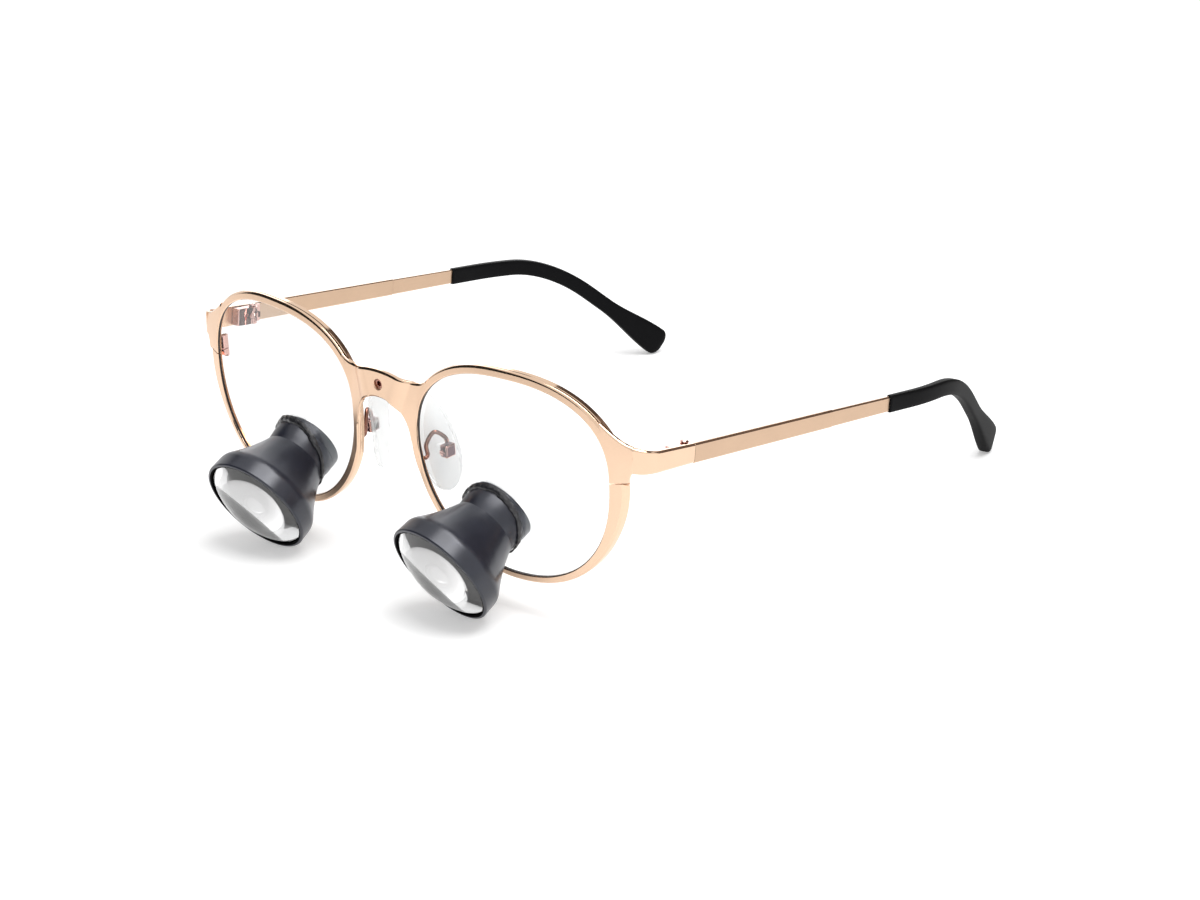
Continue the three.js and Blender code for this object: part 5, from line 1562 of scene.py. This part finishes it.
class LOUPES_OT_nosepiece(bpy.types.Operator):
    """Models the pad arms, their boxes and screws"""

    bl_idname = "loupes.nosepiece"
    bl_label = "Pad Arms"

    def execute(self, context):
        front = FrontShape()
        self.front = front
        box = Vector((12.4, 8.1, -2))
        half = Vector((1.1, 1.5, 1.5))
        self.arm(box)
        # Painted shade: dark plum faces, with polished pink broken edges.
        shell = finished(block("box", box - half, box + half), "dark_plum", "polished_pink")
        break_edges(shell, 0.34, 3, 40, 1)
        wall = Vector((0.55, 0.55, 0.55))
        hollow = block("hollow", box - half + wall - Vector((1.1, 0, 0)), box + half - wall)
        cut(shell, hollow)
        bore = turned("bore", [(0, -4), (0.5, -4), (0.5, 4), (0, 4)], 24)
        across = Matrix.Translation(box) @ Matrix.Rotation(-math.pi / 2, 4, "X")
        bore.data.transform(across)
        cut(shell, bore)
        smooth(shell, 35)
        stand_in_pair(set_in_place(shell, front.matrix), "pad_box")
        seat = 1.8
        shank = 0.4
        head = 0.7
        profile = [(0, -seat - 0.4), (0.55, -seat - 0.4), (head, -seat - 0.25), (head, -seat),
                   (shank, -seat), (shank, seat), (0, seat)]
        screw = turned("screw", profile, 28)
        cut(screw, block("slot", (-1, -0.11, -seat - 1), (1, 0.11, -seat - 0.2)))
        screw.data.transform(across)
        smooth(finished(screw, "polished_pink"))
        stand_in_pair(set_in_place(screw, front.matrix), "pad_screw")
        return {"FINISHED"}

    def behind_wire(self, v, back):
        front = self.front
        share = math.sqrt(1 - ((v - front.opening_rise) / front.lower) ** 2)
        x = front.opening_centre - front.nasal * share - front.wire_inset - front.wire_width / 2
        return front.on_face(x, v, back)

    def arm(self, box):
        """Wire brazed up the back of the eyewire, over a loop and down to its box."""
        foot = self.behind_wire(-2.7, 2.0)
        bend = self.behind_wire(-2.2, 3.1)
        leaves = self.behind_wire(0.2, 3.4)
        end = box + Vector((0, 0, 1.9))
        crest_rise = 2.9
        crest = leaves.lerp(end, 0.4)
        crest.z = crest_rise
        above = end.lerp(crest, 0.2)
        above.z = mix(end.z, crest_rise, 0.5)
        count = 60
        wire_radius = 0.5
        line = smooth_line([foot, bend, leaves, crest, above, end], count)
        turns = [k * WHOLE_TURN / 20 for k in range(20)]
        rings = []
        side = Vector((0, 1, 0))
        for i, p in enumerate(line):
            along = (line[min(i + 1, count)] - line[max(i - 1, 0)]).normalized()
            side = (side - along * side.dot(along)).normalized()
            other = along.cross(side)
            size = wire_radius * (0.8 if i in (0, count) else 1)
            rings.append([p + side * (size * math.cos(t)) + other * (size * math.sin(t)) for t in turns])
        # Painted shade: the arm takes the darkened rose gold.
        wire = smooth(finished(skin("arm", rings), "screw_rose"), 40)
        stand_in_pair(set_in_place(wire, self.front.matrix), "pad_arm")


class LOUPES_OT_saddle(bpy.types.Operator):
    """Models the clear saddle: two pads with a thin flange and the strap over the nose"""

    bl_idname = "loupes.saddle"
    bl_label = "Nose Saddle"
    foot_rise = -12.6
    foot_back = 9.6
    pad_rise = -2
    neck_rise = 8.5
    crest_rise = 14.4
    crest_back = 5.6

    def execute(self, context):
        front = FrontShape()
        sides = ((10.9, self.foot_rise), (9.2, self.pad_rise), (6.9, self.neck_rise))
        half = [(x, self.back(v), v) for x, v in sides]
        route = [*half, (0, self.crest_back, self.crest_rise), *[(-x, y, z) for x, y, z in reversed(half)]]
        count = 160
        line = smooth_line(route, count)
        splay = math.radians(24)
        lean = math.radians(20)
        rings = []
        for i, middle in enumerate(line):
            along = (line[min(i + 1, count)] - line[max(i - 1, 0)]).normalized()
            strap = ease(middle.z, self.pad_rise, self.crest_rise)
            across = Vector((math.copysign(math.sin(splay), middle.x), math.cos(splay), 0))
            across = across.lerp(Vector((0, math.cos(lean), -math.sin(lean))), strap)
            across = (across - along * across.dot(along)).normalized()
            out = along.cross(across)
            to_foot = min(i, count - i) / 23
            close = math.sqrt(1 - (0.985 * max(0, 1 - to_foot)) ** 2)
            width = mix(10, 6.2, strap) * close / 2
            thickness = mix(2, 1.5, strap) * mix(1, close, 0.5) / 2
            rings.append([middle + across * (width * u) + out * (thickness * h) for u, h in self.section()])
        # Spans along the flange steps and the outer edges take the painted grey contour shade.
        contour_spans = (0, 1, 4, 19, 22, 23, 24, 25, 28, 43, 46, 47)
        saddle = finished(skin("saddle", rings, False, contour_spans), "clear_silicone", "silicone_fold")
        for sign in (1, -1):
            tab = block("tab", (8.6, 6.95, -3.15), (12.75, 9.25, -0.85))
            tab.data.transform(Matrix.Diagonal((sign, 1, 1, 1)))
            join(saddle, finished(break_edges(outward(tab), 0.3, 3, 40), "clear_silicone"))
        smooth(saddle, 40)
        set_in_place(saddle, front.matrix)
        stand_in(saddle, ["nose_saddle"], "front")
        return {"FINISHED"}

    def back(self, v):
        share = (v - self.foot_rise) / (self.crest_rise - self.foot_rise)
        return mix(self.foot_back, self.crest_back, share)

    def section(self):
        """Outline of the strap: a rounded body with a thinner flange on each side."""
        outline = []
        for i in range(48):
            turn = i * WHOLE_TURN / 48
            u = math.cos(turn)
            body = mix(0.5, 1, ease(1 - abs(u), 0.17, 0.21))
            outline.append((u, math.sin(turn) * body if abs(u) < 0.999 else 0))
        return outline


OPERATORS = (
    LOUPES_OT_studio,
    LOUPES_OT_front,
    LOUPES_OT_eyewires,
    LOUPES_OT_lenses,
    LOUPES_OT_telescopes,
    LOUPES_OT_optics,
    LOUPES_OT_beads,
    LOUPES_OT_hinges,
    LOUPES_OT_temples,
    LOUPES_OT_tips,
    LOUPES_OT_nosepiece,
    LOUPES_OT_saddle,
)


class LOUPES_PT_pieces(bpy.types.Panel):
    """Lists the operators that make the loupes"""

    bl_label = "Surgical Loupes"
    bl_idname = "LOUPES_PT_pieces"
    bl_space_type = "VIEW_3D"
    bl_region_type = "UI"
    bl_category = "Loupes"

    def draw(self, context):
        for operator in OPERATORS:
            self.layout.operator(operator.bl_idname)


GROUPS = {
    "loupes_front": FrontSizes,
    "loupes_telescopes": TelescopeSizes,
    "loupes_temples": TempleSizes,
    "loupes_finishes": Finishes,
    "loupes_view": StudioView,
}


def register():
    for cls in (*GROUPS.values(), *OPERATORS, LOUPES_PT_pieces):
        bpy.utils.register_class(cls)
    for name, group in GROUPS.items():
        setattr(bpy.types.Scene, name, PointerProperty(type=group))


def unregister():
    for name in GROUPS:
        delattr(bpy.types.Scene, name)
    for cls in (LOUPES_PT_pieces, *reversed(OPERATORS), *reversed(GROUPS.values())):
        bpy.utils.unregister_class(cls)


def main():
    register()
    for operator in OPERATORS:
        group, name = operator.bl_idname.split(".")
        getattr(getattr(bpy.ops, group), name)()


if __name__ == "__main__":
    main()
